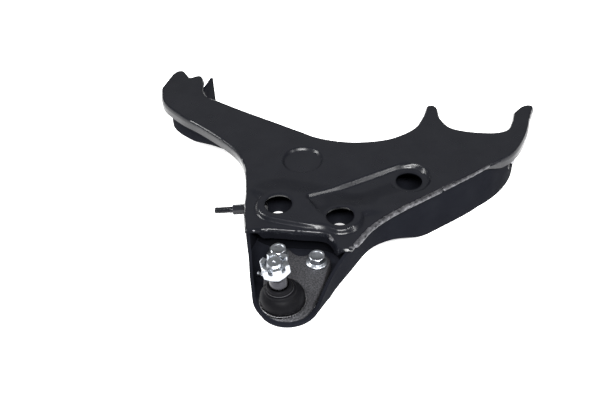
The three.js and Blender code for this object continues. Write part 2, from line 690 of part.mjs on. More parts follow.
add("upper_shell", blackPaint, upperShell());
add("lower_shell", blackPaint, lowerShell());
add("pocket_web", blackPaint, pocketWeb());
add("edge_weld", weldMetal, weldRun(EDGE_WELD, 5, 2, PLATE_TOP + 1.4));

add("front_bush_tube", blackPaint, bushTube(FRONT_EARS));
add("front_bush_rubber", rubber, bushRubber(FRONT_EARS[0] + 4, FRONT_EARS[1] - 4));
add("front_bush_sleeve", steel, bushSleeve(FRONT_EARS));
add("rear_bush_tube", blackPaint, bushTube(REAR_EARS));
add("rear_bush_rubber_inner", rubber, bushRubber(REAR_EARS[0] + 4, REAR_EARS[0] + 46));
add("rear_bush_rubber_outer", rubber, bushRubber(REAR_EARS[1] - 46, REAR_EARS[1] - 4));
add("rear_bush_sleeve", steel, bushSleeve(REAR_EARS));

add("ball_joint_housing", forging, ballJointHousing());
add("ball_joint_bottom_cap", steel, bottomCap());
add("ball_seat", plastic, ballSeat());
add("preload_washer", steel, preloadWasher());
add("ball_stud", steel, ballStud());
add("castle_nut", zinc, castleNut());
add("dust_boot", rubber, dustBoot());
add("boot_base_ring", steel, bootBaseRing());
add("boot_neck_ring", steel, bootNeckRing());
add("grease_nipple", zinc, nippleSolid(0, 6.4));

FLANGE_BOLTS.forEach(([x, y], i) => {
  add(`flange_bolt_${i + 1}`, zinc, flangeBolt(x, y));
  add(`flange_nut_${i + 1}`, zinc, flangeNut(x, y));
});

add("side_stud", blackPaint, sideStud());
add("side_stud_nut", steel, sideStudNut());

export default arm;
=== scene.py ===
import json
import math

import bpy
import bmesh
import numpy as np
from mathutils import Matrix, Vector, noise
from mathutils.geometry import delaunay_2d_cdt
from mathutils.kdtree import KDTree


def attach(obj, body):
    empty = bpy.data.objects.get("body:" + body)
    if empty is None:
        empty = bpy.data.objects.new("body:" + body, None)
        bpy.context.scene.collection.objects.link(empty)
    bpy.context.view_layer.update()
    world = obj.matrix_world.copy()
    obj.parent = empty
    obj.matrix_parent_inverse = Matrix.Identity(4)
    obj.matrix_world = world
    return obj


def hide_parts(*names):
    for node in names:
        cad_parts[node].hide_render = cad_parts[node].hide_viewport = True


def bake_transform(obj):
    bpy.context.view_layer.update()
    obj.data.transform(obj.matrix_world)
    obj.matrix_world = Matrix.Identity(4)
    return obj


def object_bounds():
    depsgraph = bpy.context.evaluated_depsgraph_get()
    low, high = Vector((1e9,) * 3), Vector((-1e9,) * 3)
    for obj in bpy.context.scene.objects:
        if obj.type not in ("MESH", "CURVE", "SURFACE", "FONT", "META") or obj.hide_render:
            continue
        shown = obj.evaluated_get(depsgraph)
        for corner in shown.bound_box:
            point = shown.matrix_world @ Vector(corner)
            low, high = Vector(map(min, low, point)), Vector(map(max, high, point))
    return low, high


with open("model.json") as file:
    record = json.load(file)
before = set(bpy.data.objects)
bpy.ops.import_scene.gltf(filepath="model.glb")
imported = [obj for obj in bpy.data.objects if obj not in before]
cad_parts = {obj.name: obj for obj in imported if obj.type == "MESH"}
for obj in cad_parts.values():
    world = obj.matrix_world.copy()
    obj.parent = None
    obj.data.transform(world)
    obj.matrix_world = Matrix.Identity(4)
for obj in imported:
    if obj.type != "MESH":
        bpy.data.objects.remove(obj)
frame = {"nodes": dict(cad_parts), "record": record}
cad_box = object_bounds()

# Every length below is in millimetres: +X along the pivot axis, +Y from the ball joint to the pivot axis,
# +Z up. make_mesh() turns them into metres, and to_frame() moves a finished piece down by FOOT_LEVEL, so
# that the ball joint's flat foot lies at the shared frame's origin.
MM = 0.001
FOOT_LEVEL = 16.2

# ---- driving dimensions
PLATE_TOP = 48.0
SHEET = 3.0
LIP_FOOT = 36.0
WALL = 3.2
TRAY_TOP = 44.7
HOLE_RADIUS = 14.0
FRONT_HOLES = [(-38.5, 109.5), (26.5, 107.5)]
BACK_HOLE = (81, 188)
DRAINS = [(-46.5, 127), (21, 125)]
DISC = (-37, 190)
PIVOT_Y, PIVOT_Z = 291.0, 20.0
FRONT_EARS = (-233.0, -193.0)
REAR_EARS = (80.0, 185.0)
FLANGE_BOLTS = [(-22.5, 57), (16.5, 57)]
FLANGE_TOP = 33.0
POCKET_FLOOR = 21.2
FLANGE_ROUND = (4.2, 1.4)
FLANGE_RADIUS = 25.0
BALL_Z = 30.0
BALL_RADIUS = 13.0
THREAD_FOOT = 74.0  # the stud is zinc plated from here up; below it the shank's near-black steel is painted shade under the nut
LEAN = Vector((-4, -4, 58)).normalized()
SIDE_STUD_AT = Vector((-67, 121.4, 29.5))
SIDE_STUD_ALONG = Vector((-0.948, -0.318, 0)).normalized()
NIPPLE_AT = (-29.6, 33.5, 27.5)
BUSH_TUBE_RADIUS = 17.5
BUSH_TUBE_BORE = 15.0
SLEEVE_RADIUS = 10.5
SLEEVE_BORE = 6.2
SLEEVE_PROUD = 1.5  # how far a sleeve stands out of its ear
GAP = 0.3  # what touching pieces keep between them


# ---- numbers and outlines
def smoothstep(x, low, high):
    t = np.clip((np.asarray(x, float) - low) / (high - low), 0, 1)
    return t * t * (3 - 2 * t)


def curve(corners, step=2.5):
    """Points along a smooth curve through the corners, or along a straight line between two."""
    corners = [np.array(c, float) for c in corners]
    if len(corners) == 2:
        count = max(1, round(np.linalg.norm(corners[1] - corners[0]) / step))
        return [corners[0] + (corners[1] - corners[0]) * i / count for i in range(count + 1)]
    points = []
    for i in range(len(corners) - 1):
        a = corners[max(i - 1, 0)]
        b, c = corners[i], corners[i + 1]
        d = corners[min(i + 2, len(corners) - 1)]
        count = max(2, round(np.linalg.norm(c - b) / step))
        for k in range(count):
            t = k / count
            bend = (2 * a - 5 * b + 4 * c - d) * t**2
            twist = (3 * b - a - 3 * c + d) * t**3
            points.append(0.5 * (2 * b + (c - a) * t + bend + twist))
    return points + [corners[-1]]


def arc(cx, cy, radius, start, end, step=2.0):
    count = max(3, round(abs(math.radians(end - start)) * radius / step))
    angles = np.radians(np.linspace(start, end, count + 1))
    return [np.array([cx + radius * math.cos(a), cy + radius * math.sin(a)]) for a in angles]


def joined(*stretches):
    """One closed anticlockwise ring from stretches of points that follow each other."""
    ring = []
    for stretch in stretches:
        for p in stretch:
            if not ring or np.linalg.norm(ring[-1] - p) > 0.6:
                ring.append(np.asarray(p, float))
    if np.linalg.norm(ring[0] - ring[-1]) < 0.6:
        ring.pop()
    ring = np.array(ring)
    x, y = ring[:, 0], ring[:, 1]
    area = np.sum(x * np.roll(y, -1) - y * np.roll(x, -1)) / 2
    return ring if area > 0 else ring[::-1].copy()


def circle(cx, cy, radius, step=2.0):
    return joined(arc(cx, cy, radius, 0, 360, step))


def edge_distance(points, ring, closed=True):
    """Distance from each point to the nearest edge of a ring, or of an open line."""
    points = np.asarray(points, float)
    a = ring if closed else ring[:-1]
    b = np.roll(ring, -1, axis=0) if closed else ring[1:]
    best = np.full(len(points), 1e9)
    for p, q in zip(a, b):
        edge = q - p
        t = np.clip((points - p) @ edge / (edge @ edge), 0, 1)
        best = np.minimum(best, np.linalg.norm(points - (p + t[:, None] * edge), axis=1))
    return best


def inside(points, ring):
    points = np.asarray(points, float)
    x, y = points[:, 0], points[:, 1]
    odd = np.zeros(len(points), bool)
    for (ax, ay), (bx, by) in zip(ring, np.roll(ring, -1, axis=0)):
        crosses = (ay > y) != (by > y)
        if ay != by:
            odd ^= crosses & (x < (bx - ax) * (y - ay) / (by - ay) + ax)
    return odd


def inset(ring, distance):
    """The ring moved inwards, without the points that a tight bend would fold over."""
    before, after = np.roll(ring, 1, axis=0), np.roll(ring, -1, axis=0)
    along = after - before
    normal = np.stack([-along[:, 1], along[:, 0]], axis=1)
    normal /= np.linalg.norm(normal, axis=1)[:, None]
    moved = ring + normal * distance
    return moved[edge_distance(moved, ring) > abs(distance) - 0.08]


PLATE_LEFT = [
    (-59.5, 68), (-68, 89), (-75, 111), (-82, 134), (-94.5, 164), (-111, 186), (-138, 205), (-169, 222),
    (-199, 236), (-229, 257), (-243.5, 286),
]
PLATE_BACK = [
    (-167, 275), (-128, 262), (-88, 250), (-55, 240), (-29, 233), (5, 234), (37, 245), (56, 259), (71, 280),
    (76, 306),
]
PLATE_RIGHT = [
    (196, 339), (195, 300), (186, 262), (167, 236), (143, 209), (116, 177), (90, 147), (73, 127), (58, 102),
    (48, 67),
]
MOUTH = [(48, 67), (36, 65), (28, 76), (17, 83), (-7, 80), (-36, 76), (-47, 72), (-59.5, 68)]
WELD_LINE = np.array(curve(PLATE_RIGHT[3:], 2.0))
YOKE_BOTTOM = [(90, 317), (95, 304), (107, 290), (121, 286), (143, 287), (163, 292), (174, 302), (177, 318)]

PLATE_GROWTH = 0.8  # the sheet's bent edge bulges this far past the outline
PLATE = inset(joined(
    curve(PLATE_LEFT),
    curve([(-243.5, 286), (-243, 318)]),
    curve([(-243, 318), (-239, 326), (-232, 327), (-225, 320)], 1.5),
    curve([(-219, 314), (-212, 321), (-206, 321), (-200, 312)], 1.5),
    curve([(-200, 312), (-194, 294), (-183, 280), (-167, 275)]),
    curve(PLATE_BACK),
    curve([(76, 306), (76, 325)]),
    curve([(76, 325), (82, 328), (88, 324), (90, 317)], 1.5),
    curve(YOKE_BOTTOM),
    curve([(177, 318), (177, 336)]),
    curve([(177, 336), (184, 350), (192, 356), (198, 353), (196, 339)], 1.5),
    curve(PLATE_RIGHT),
    curve(MOUTH, 2.0),
), -PLATE_GROWTH)
TRAY_BACK = [
    (REAR_EARS[0], 306), (78.5, 292), (74.7, 277.4), (59.7, 256.4), (39.7, 241.4), (5.7, 229.5),
    (-29, 228.5), (-56, 235.6), (-89, 245.7), (-129, 257.7), (-168, 270.6), (-180, 275.5), (-189, 285),
    (FRONT_EARS[1], 299),
]
TRAY_LEFT = [
    (FRONT_EARS[0], 292), (-229, 272), (-216, 259), (-194, 247), (-165, 233), (-134, 215), (-105, 195),
    (-86, 171), (-71, 136), (-63, 109), (-58.5, 86), (-58.5, 66),
]
TRAY_RIGHT = [
    (34.6, -1), (38, 33), (48, 67), (58, 102), (73, 127), (90, 147), (116, 177), (143, 209), (155, 226),
    (166, 242), (178, 268), (183.5, 288), (REAR_EARS[1], 304),
]
TRAY_NOSE = [
    (-58.5, 66), (-54, 57), (-44, 33), (-39.3, 20.8), (-32.8, 6), (-27.4, -6), (-21.8, -13.8),
    (-13.2, -21.2),
]
POCKET_CENTRE = (5, 2)
POCKET_RADIUS = 29.6
TRAY = joined(
    curve(TRAY_NOSE),
    arc(*POCKET_CENTRE, POCKET_RADIUS, 232, 350),
    curve(TRAY_RIGHT),
    curve([(REAR_EARS[1], 304), (REAR_EARS[1], 338)]),
    curve([(REAR_EARS[1], 338), (REAR_EARS[0], 319)]),
    curve([(REAR_EARS[0], 319), (REAR_EARS[0], 306)]),
    curve(TRAY_BACK),
    curve([(FRONT_EARS[1], 299), (FRONT_EARS[1], 325)]),
    curve([(FRONT_EARS[1], 325), (FRONT_EARS[0], 320)]),
    curve([(FRONT_EARS[0], 320), (FRONT_EARS[0], 292)]),
    curve(TRAY_LEFT),
)


# ---- meshes
SMOOTH_ANGLE = 35.0


def make_mesh(name, vertices, faces, smooth_angle=SMOOTH_ANGLE):
    """A new object from vertices in millimetres, smooth except at edges sharper than the angle."""
    mesh = bpy.data.meshes.new(name)
    mesh.from_pydata([tuple(MM * c for c in v) for v in vertices], [], [tuple(f) for f in faces])
    mesh.validate()
    mesh.update()
    piece = link_object(name, mesh)
    shade(piece, smooth_angle)
    return piece


def link_object(name, data):
    made = bpy.data.objects.new(name, data)
    bpy.context.scene.collection.objects.link(made)
    return made


def object_from(name, bm):
    """A new object from a bmesh, which is freed."""
    mesh = bpy.data.meshes.new(name)
    bm.to_mesh(mesh)
    bm.free()
    return link_object(name, mesh)


def shade(piece, smooth_angle):
    mesh = piece.data
    mesh.polygons.foreach_set("use_smooth", [True] * len(mesh.polygons))
    bm = bmesh.new()
    bm.from_mesh(mesh)
    limit = math.radians(smooth_angle)
    for edge in bm.edges:
        edge.smooth = len(edge.link_faces) == 2 and edge.calc_face_angle(0) < limit
    bm.to_mesh(mesh)
    bm.free()


def apply_modifiers(piece):
    """Replaces the piece's mesh by what its modifiers make of it."""
    graph = bpy.context.evaluated_depsgraph_get()
    graph.update()
    made = bpy.data.meshes.new_from_object(piece.evaluated_get(graph))
    piece.modifiers.clear()
    piece.data = made
    shade(piece, SMOOTH_ANGLE)
    return piece


def thicken(piece, thickness, even=True):
    """Gives a sheet its thickness on the side that its faces turn away from."""
    modifier = piece.modifiers.new("thickness", "SOLIDIFY")
    modifier.thickness = thickness * MM
    modifier.offset = -1
    modifier.use_even_offset = even
    return apply_modifiers(piece)


def soften(piece, width, segments=2, angle=50.0):
    """Rounds the edges that are sharper than the angle."""
    modifier = piece.modifiers.new("edges", "BEVEL")
    modifier.width = width * MM
    modifier.segments = segments
    modifier.limit_method = "ANGLE"
    modifier.angle_limit = math.radians(angle)
    return apply_modifiers(piece)


def cut(piece, tool):
    modifier = piece.modifiers.new("cut", "BOOLEAN")
    modifier.operation = "DIFFERENCE"
    modifier.solver = "EXACT"
    modifier.object = tool
    apply_modifiers(piece)
    bpy.data.objects.remove(tool)
    return piece


def join(name, pieces):
    """One object with the meshes of several."""
    bm = bmesh.new()
    for piece in pieces:
        bm.from_mesh(piece.data)
        bpy.data.objects.remove(piece)
    return object_from(name, bm)


def tree_of(points):
    tree = KDTree(len(points))
    for i, (x, y) in enumerate(points):
        tree.insert((x, y, 0), i)
    tree.balance()
    return tree


def plan_triangles(ring, holes, extra, spacing, margin):
    """Triangles over a region in plan: the ring, the holes, extra points and a grid between them.

    Also gives each loop's points in order, and every point's distance from the outer ring.
    """
    fixed = [ring, *holes]
    constraints, start = [], 0
    for loop in fixed:
        count = len(loop)
        constraints += [(start + i, start + (i + 1) % count) for i in range(count)]
        start += count
    low, high = ring.min(0), ring.max(0)
    xs = np.arange(low[0] + spacing / 2, high[0], spacing)
    ys = np.arange(low[1] + spacing / 2, high[1], spacing * 0.866)
    grid = np.array([(x + (spacing / 2 if k % 2 else 0), y) for k, y in enumerate(ys) for x in xs])
    grid = grid[inside(grid, ring)]
    grid = grid[edge_distance(grid, ring) > margin]
    for hole in holes:
        grid = grid[~inside(grid, hole)]
        grid = grid[edge_distance(grid, hole) > spacing * 0.5]
    keep = inside(extra, ring) & (edge_distance(extra, ring) > 0.25)
    for hole in holes:
        keep &= ~inside(extra, hole) & (edge_distance(extra, hole) > 0.6)
    extra = extra[keep]
    tree = tree_of(extra)
    near = np.array([tree.find((x, y, 0))[2] for x, y in grid])
    grid = grid[near > spacing * 0.55]
    points = np.concatenate([*fixed, extra, grid])
    made = delaunay_2d_cdt([Vector(p) for p in points], constraints, [], 0, 1e-5)
    vertices = np.array([tuple(v) for v in made[0]])
    faces = np.array([f for f in made[2] if len(f) == 3])
    centres = vertices[faces].mean(1)
    keep = inside(centres, ring)
    for hole in holes:
        keep &= ~inside(centres, hole)
    # The library may merge or reorder points, so the ring's points are looked up again.
    tree = tree_of(vertices)
    loops = [[tree.find((x, y, 0))[1] for x, y in loop] for loop in fixed]
    from_edge = edge_distance(vertices, ring)
    from_edge[loops[0]] = 0
    return vertices, faces[keep], loops, from_edge


def edge_rings(ring, offsets):
    return np.concatenate([inset(ring, d) for d in offsets])


def rounded_drop(depth, radius):
    """How far a surface has fallen at a distance from its edge that is rounded with a radius."""
    reach = np.clip(radius - depth, 0, radius)
    return radius - np.sqrt(np.maximum(radius**2 - reach**2, 0))


# ---- upper shell
def weld_share(points):
    """1 on the welded front edge, 0 on the rolled edges."""
    near = edge_distance(points, WELD_LINE, closed=False)
    return (1 - smoothstep(near, 4, 14)) * (1 - smoothstep(np.asarray(points)[:, 1], 222, 246))


PAD_HEIGHT = 4.4
PAD_REACH = 20.5  # how far the pad's full height goes from the line between the front holes' centres
def pad_height(points):
    """A raised pad round the front holes, steep in front and at its ends, fading out behind."""
    away = edge_distance(points, np.array(FRONT_HOLES, float), closed=False)
    behind = smoothstep(points[:, 1], 114, 130)
    slope = 4.2 + 26.0 * behind
    return PAD_HEIGHT * (1 - smoothstep(away, PAD_REACH - 4 * behind, PAD_REACH + slope))


RECESS_FROM = np.array([-16.5, 131.0])
RECESS_TO = np.array([66.0, 208.0])
RECESS_DEPTH = 4.6
DISH_DEPTH = 2.8
EDGE_ROUND, WELDED_ROUND = 3.2, 1.4


def recess_depth(points):
    """A shallow recess: a straight far edge that runs into an arc round the back hole, open in front."""
    length = np.linalg.norm(RECESS_TO - RECESS_FROM)
    along = (RECESS_TO - RECESS_FROM) / length
    across = np.array([along[1], -along[0]])
    relative = points - RECESS_FROM
    forward = relative @ across
    run = relative @ along
    straight = smoothstep(forward, -0.5, 5.5) * (1 - smoothstep(forward, 14, 44))
    straight = straight * smoothstep(run, -1.5, 2.5) * (1 - smoothstep(run, length - 6, length + 14))
    from_hole = np.linalg.norm(points - np.array(BACK_HOLE), axis=1)
    bowl = 1 - smoothstep(from_hole, 19.5, 24)
    return RECESS_DEPTH * np.maximum(straight, bowl)


def dish_depth(points):
    from_centre = np.linalg.norm(points - np.array(DISC), axis=1)
    return DISH_DEPTH * (1 - smoothstep(from_centre, 19.2, 22.6))


def upper_height(points, from_edge):
    rolled = EDGE_ROUND - (EDGE_ROUND - WELDED_ROUND) * weld_share(points)
    calm = smoothstep(from_edge, 2, 9)
    shape = pad_height(points) - recess_depth(points) - dish_depth(points)
    return PLATE_TOP + shape * calm - rounded_drop(from_edge, rolled)


LEAST_LIP = 0.6  # the edge never turns up, even where there is no lip


def lip_foot(points):
    """Height of the lip's foot: no lip along the weld, at the mouth's ends and by the inner ear."""
    none = weld_share(points)
    left_corner = (1 - smoothstep(points[:, 0], -50, -42)) * (1 - smoothstep(points[:, 1], 80, 92))
    right_corner = smoothstep(points[:, 0], 30, 42) * (1 - smoothstep(points[:, 1], 74, 90))
    ear = smoothstep(points[:, 0], -206, -200) * (1 - smoothstep(points[:, 0], -168, -156))
    ear = ear * smoothstep(points[:, 1], 258, 268)
    none = np.maximum.reduce([none, left_corner, right_corner, ear])
    yoke = smoothstep(points[:, 0], 88, 94) * (1 - smoothstep(points[:, 0], 174, 180))
    yoke = yoke * smoothstep(points[:, 1], 262, 280)
    foot = LIP_FOOT + 4.0 * yoke
    return foot + (PLATE_TOP - SHEET - foot) * none


def feature_points():
    """Points that follow the pressed features' edges, so that their slopes come out crisp."""
    points = []
    for radius in np.arange(17.5, 26.5, 1.0):
        points.append(circle(*BACK_HOLE, radius, 2.2))
    for radius in np.arange(17.5, 24.5, 1.0):
        points.append(circle(*DISC, radius, 2.0))
    (ax, ay), (bx, by) = FRONT_HOLES
    outward = np.array([by - ay, ax - bx]) / math.hypot(bx - ax, by - ay)
    for radius in np.arange(17.5, 28, 0.9):
        points.append(np.array(arc(ax, ay, radius, 120, 270) + arc(bx, by, radius, -90, 60)))
        points.append(np.array(curve([(ax, ay) + outward * radius, (bx, by) + outward * radius], 2.0)[1:-1]))
    along = RECESS_TO - RECESS_FROM
    across = np.array([along[1], -along[0]]) / np.linalg.norm(along)
    for offset in np.arange(-1.0, 6.5, 1.0):
        points.append(np.array(curve([RECESS_FROM + across * offset, RECESS_TO + across * offset], 2.0)))
    return np.concatenate(points)


def thin_out(points, least):
    """Drops points that come closer than a distance to an earlier one."""
    kept, cells = [], {}
    for p in points:
        cell = (int(p[0] // least), int(p[1] // least))
        close = False
        for i in (-1, 0, 1):
            for j in (-1, 0, 1):
                for q in cells.get((cell[0] + i, cell[1] + j), ()):
                    close |= (q[0] - p[0]) ** 2 + (q[1] - p[1]) ** 2 < least**2
        if not close:
            kept.append(p)
            cells.setdefault(cell, []).append(p)
    return np.array(kept)


def strip_down(vertices, loop, feet, rows):
    """Faces that carry a boundary loop straight down to a foot height at each of its points."""
    faces, above = [], list(loop)
    count = len(loop)
    top = np.array([vertices[i] for i in loop])
    for row in range(1, rows + 1):
        share = row / rows
        base = len(vertices)
        for k in range(count):
            x, y, z = top[k]
            vertices.append((x, y, z + (feet[k] - z) * share))
        below = [base + k for k in range(count)]
        for k in range(count):
            n = (k + 1) % count
            faces.append((above[k], below[k], below[n], above[n]))
        above = below
    return faces


def build_upper_shell():
    holes = [circle(x, y, HOLE_RADIUS, 1.8) for x, y in [*FRONT_HOLES, BACK_HOLE]]
    rounding = edge_rings(PLATE, (0.25, 0.8, 1.6, 2.6, 3.7, 5.0))
    hole_rings = [circle(x, y, HOLE_RADIUS + 1.6, 2.0) for x, y in [*FRONT_HOLES, BACK_HOLE]]
    extra = thin_out(np.concatenate([rounding, *hole_rings, feature_points()]), 0.75)
    plan, faces, loops, from_edge = plan_triangles(PLATE, holes, extra, 3.2, 6.0)
    z = upper_height(plan, from_edge)
    for x, y in [*FRONT_HOLES, BACK_HOLE]:
        from_rim = np.linalg.norm(plan - np.array((x, y)), axis=1) - HOLE_RADIUS
        z = z - 0.9 * (1 - smoothstep(from_rim, -0.1, 1.8))
    vertices = [(x, y, h) for (x, y), h in zip(plan, z)]
    feet = np.minimum(lip_foot(plan[loops[0]]), z[loops[0]] - LEAST_LIP)
    faces = [tuple(f) for f in faces] + strip_down(vertices, loops[0], feet, 4)
    shell = make_mesh("upper_shell_skin", vertices, faces)
    return soften(thicken(shell, SHEET, even=False), 0.5)


# ---- lower shell
def keel(x):
    """Height of the tray's underside along X, with soft bends."""
    across = np.array([-260, -190, -137, -100, 48, 66, 84, 102, 150, 185])
    heights = np.array([3, 3, 20, 18, 17.5, 11, 1.5, -12, -12, -13.5])
    shifts = (-6, -3, 0, 3, 6)
    return sum(np.interp(np.asarray(x) + shift, across, heights) for shift in shifts) / len(shifts)


def nose_height(y):
    """The pocket's nose is raised: the height of its underside along Y."""
    return np.interp(y, [-2, 28], [29.5, 17.9])


def rim_height(y):
    return np.interp(y, [-60, 0, 30, 55, 62, 66], [34, 34.5, 40, 46.6, 47.6, TRAY_TOP])


def ear_foot(y):
    """The ears' lower edge, which climbs to the plate behind the bushes."""
    return np.interp(y, [304, 318, 334, 346, 352], [-20, -2, 14, 33, TRAY_TOP])


def build_lower_shell():
    cup_hole = circle(*FLANGE_ROUND, FLANGE_RADIUS + 0.3, 2.2)
    bolt_holes = [circle(x, y, 5.6, 1.6) for x, y in FLANGE_BOLTS]
    drains = [circle(x, y, 8, 1.6) for x, y in DRAINS]
    holes = [cup_hole, *bolt_holes, *drains]
    rounding = edge_rings(TRAY, (0.3, 1.2, 2.6, 4.4, 6.5, 8.5))
    plan, faces, loops, from_edge = plan_triangles(TRAY, holes, thin_out(rounding, 0.9), 5.0, 10.0)
    round_foot = 1.2 + 2.4 * (1 - smoothstep(plan[:, 1], 236, 262))
    pocket = 1 - smoothstep(plan[:, 1], 30, 75)
    round_foot = round_foot * (1 - pocket) + 1.4 * pocket
    z = keel(plan[:, 0])
    z = np.where(plan[:, 1] < 28, np.maximum(z, nose_height(plan[:, 1])), z)
    z = z + rounded_drop(from_edge, round_foot)
    # The bays under the bushes have no floor.
    centres = plan[faces].mean(1)
    bay_front = PIVOT_Y - BUSH_TUBE_RADIUS - 8
    in_bay = centres[:, 1] > bay_front
    faces = faces[~in_bay]
    loop = loops[0]
    ring = plan[loop]
    feet = np.where(ring[:, 1] > bay_front, np.maximum(z[loop], ear_foot(ring[:, 1])), z[loop])
    vertices = [(x, y, h) for (x, y), h in zip(plan, z)]
    across_ends = np.zeros(len(ring), bool)
    for x0, x1 in (FRONT_EARS, REAR_EARS):
        across_ends |= (ring[:, 0] > x0 + 0.5) & (ring[:, 0] < x1 - 0.5) & (ring[:, 1] > 312)
    rims = rim_height(ring[:, 1])
    wall_faces = []
    rows = 6
    levels = []
    for row in range(rows + 1):
        share = row / rows
        base = len(vertices)
        for k, (x, y) in enumerate(ring):
            vertices.append((x, y, feet[k] + (rims[k] - feet[k]) * share))
        levels.append([base + k for k in range(len(ring))])
    # The wall's lowest row is the floor's own edge wherever there is a floor.
    for k in range(len(ring)):
        if ring[k, 1] <= bay_front + 3:
            vertices[levels[0][k]] = vertices[loop[k]]
    for row in range(rows):
        for k in range(len(ring)):
            n = (k + 1) % len(ring)
            if across_ends[k] or across_ends[n]:
                continue
            wall_faces.append((levels[row][k], levels[row][n], levels[row + 1][n], levels[row + 1][k]))
    floor_faces = [tuple(reversed(f)) for f in faces]
    shell = make_mesh("lower_shell_skin", vertices, floor_faces + wall_faces)
    weld_points(shell)
    thicken(shell, WALL, even=False)
    for x0, x1 in (FRONT_EARS, REAR_EARS):
        cut(shell, cylinder_x("ear_hole_tool", x0 - 8, x1 + 8, 13.0, 48))
        cut(shell, cylinder_x("tube_tool", x0 + WALL, x1 - WALL, BUSH_TUBE_RADIUS + GAP, 64))
    return shell


def weld_points(piece, distance=0.02):
    bm = bmesh.new()
    bm.from_mesh(piece.data)
    bmesh.ops.remove_doubles(bm, verts=bm.verts, dist=distance * MM)
    bmesh.ops.dissolve_degenerate(bm, edges=bm.edges, dist=1e-7)
    loose = [v for v in bm.verts if not v.link_faces]
    bmesh.ops.delete(bm, geom=loose, context="VERTS")
    bmesh.ops.recalc_face_normals(bm, faces=bm.faces)
    bm.to_mesh(piece.data)
    bm.free()


def transform(piece, matrix):
    """Moves the mesh itself; the matrix's translation is in millimetres."""
    scaled = matrix.copy()
    for i in range(3):
        scaled[i][3] *= MM
    piece.data.transform(scaled)
    piece.data.update()
    return piece


def cylinder_x(name, x0, x1, radius, segments):
    return along_pivot(spun(name, [(0, x0), (radius, x0), (radius, x1), (0, x1)], segments))


# ---- pocket web and welds
WEB_LINE = [(-53.5, 85), (-36, 81), (-7, 85), (17, 88), (31, 82), (37, 72), (44.4, 71)]


def build_pocket_web():
    """The closing plate behind the ball joint: a bent strip with its foot curved out onto the floor."""
    line = curve(WEB_LINE, 1.5)
    levels = [
        (2.4, 21.6), (1.2, 22.1), (0.5, 23.2), (0.1, 25), (0, 28), (0, 32), (0, 36), (0.3, 39), (1.0, 41.2),
    ]
    vertices, faces = [], []
    for x, y in line:
        for out, z in levels:
            vertices.append((x, y - out, z))
    rows = len(levels)
    for k in range(len(line) - 1):
        for j in range(rows - 1):
            a = k * rows + j
            faces.append((a, a + rows, a + rows + 1, a + 1))
    web = make_mesh("pocket_web_skin", vertices, faces)
    return soften(thicken(web, 2.6), 0.4)


WELD_SMOOTH = 60


def bead(name, line, width, height, seed, ripple=2.6):
    """A run of weld metal: a low rounded ridge with crescent ripples and an uneven edge."""
    line = np.array(curve(line, 0.9))
    across_count = 9
    vertices, faces = [], []
    travelled = 0.0
    for k, (x, y) in enumerate(line):
        before, after = line[max(k - 1, 0)], line[min(k + 1, len(line) - 1)]
        along = (after - before) / np.linalg.norm(after - before)
        side = np.array([-along[1], along[0]])
        if k:
            travelled += np.linalg.norm(line[k] - line[k - 1])
        share = k / (len(line) - 1)
        ends = float(smoothstep(share, -0.001, 0.03) * (1 - smoothstep(share, 0.97, 1.001)))
        here = width(share) * (0.35 + 0.65 * ends)
        wander = 0.5 * noise.noise(Vector((travelled * 0.16, seed, 0)))
        swell = 1 + 0.25 * noise.noise(Vector((travelled * 0.3, seed, 4)))
        for j in range(across_count):
            v = 2 * j / (across_count - 1) - 1
            edge = 1 + 0.16 * noise.noise(Vector((travelled * 0.7, seed + 9 * np.sign(v), 2)))
            offset = wander + v * here / 2 * edge * swell
            phase = 2 * math.pi * (travelled / ripple + 0.35 * v * v)
            ridge = 1 + 0.16 * math.sin(phase) + 0.22 * noise.noise(Vector((travelled * 0.9, v * 2, seed)))
            top = height * ends * swell * ridge * (1 - v * v) ** 0.7
            px, py = (x, y) + side * offset
            vertices.append((px, py, PLATE_TOP + top))
        for v in (1, -1):
            px, py = (x, y) + side * (wander + v * here / 2)
            vertices.append((px, py, PLATE_TOP - 1.6))
    rows = across_count + 2
    for k in range(len(line) - 1):
        for j in range(rows):
            a, b = k * rows + j, k * rows + (j + 1) % rows
            faces.append((a, a + rows, b + rows, b))
    faces.append(tuple(range(rows)))
    faces.append(tuple(reversed(range((len(line) - 1) * rows, len(line) * rows))))
    piece = make_mesh(name, vertices, faces, WELD_SMOOTH)
    weld_points(piece, 0.005)
    shade(piece, WELD_SMOOTH)
    return piece


def blob(name, centre, size, turn, seed):
    """A short lump of weld metal."""
    bm = bmesh.new()
    bmesh.ops.create_icosphere(bm, subdivisions=4, radius=1.0)
    for v in bm.verts:
        rough = 1 + 0.16 * noise.noise(v.co * 1.7 + Vector((seed, 0, 0))) + 0.05 * noise.noise(v.co * 5)
        v.co = Vector((v.co.x * size[0], v.co.y * size[1], v.co.z * size[2])) * rough
    piece = object_from(name, bm)
    piece.data.transform(Matrix.Translation(Vector(centre)) @ Matrix.Rotation(math.radians(turn), 4, "Z"))
    piece.data.transform(Matrix.Scale(MM, 4))
    shade(piece, WELD_SMOOTH)
    return piece


def build_edge_weld():
    run = [(50, 72), (60, 101), (75, 125), (92, 146), (118, 176)]
    main = bead("weld_run", run, lambda t: 5.6 - 1.0 * t, 1.2, 3.0)
    tail = bead("weld_tail", [(119, 177), (145, 208), (161, 229)], lambda t: 3.4 - 1.2 * t, 0.7, 11.0)
    blobs = []
    for i, (centre, size, turn) in enumerate([
        ((-52, 72.0, 45.8), (3.6, 1.8, 1.6), 20),
        ((-42, 75.5, 46.0), (3.2, 1.7, 1.4), -12),
        ((25, 78.5, 45.8), (3.6, 1.7, 1.5), -38),
        ((47, 70, 46.6), (3.4, 2.2, 1.7), 40),
    ], 1):
        blobs.append(blob(f"blob_{i}", centre, size, turn, i))
    return join("edge_weld_run", [main, tail, *blobs])


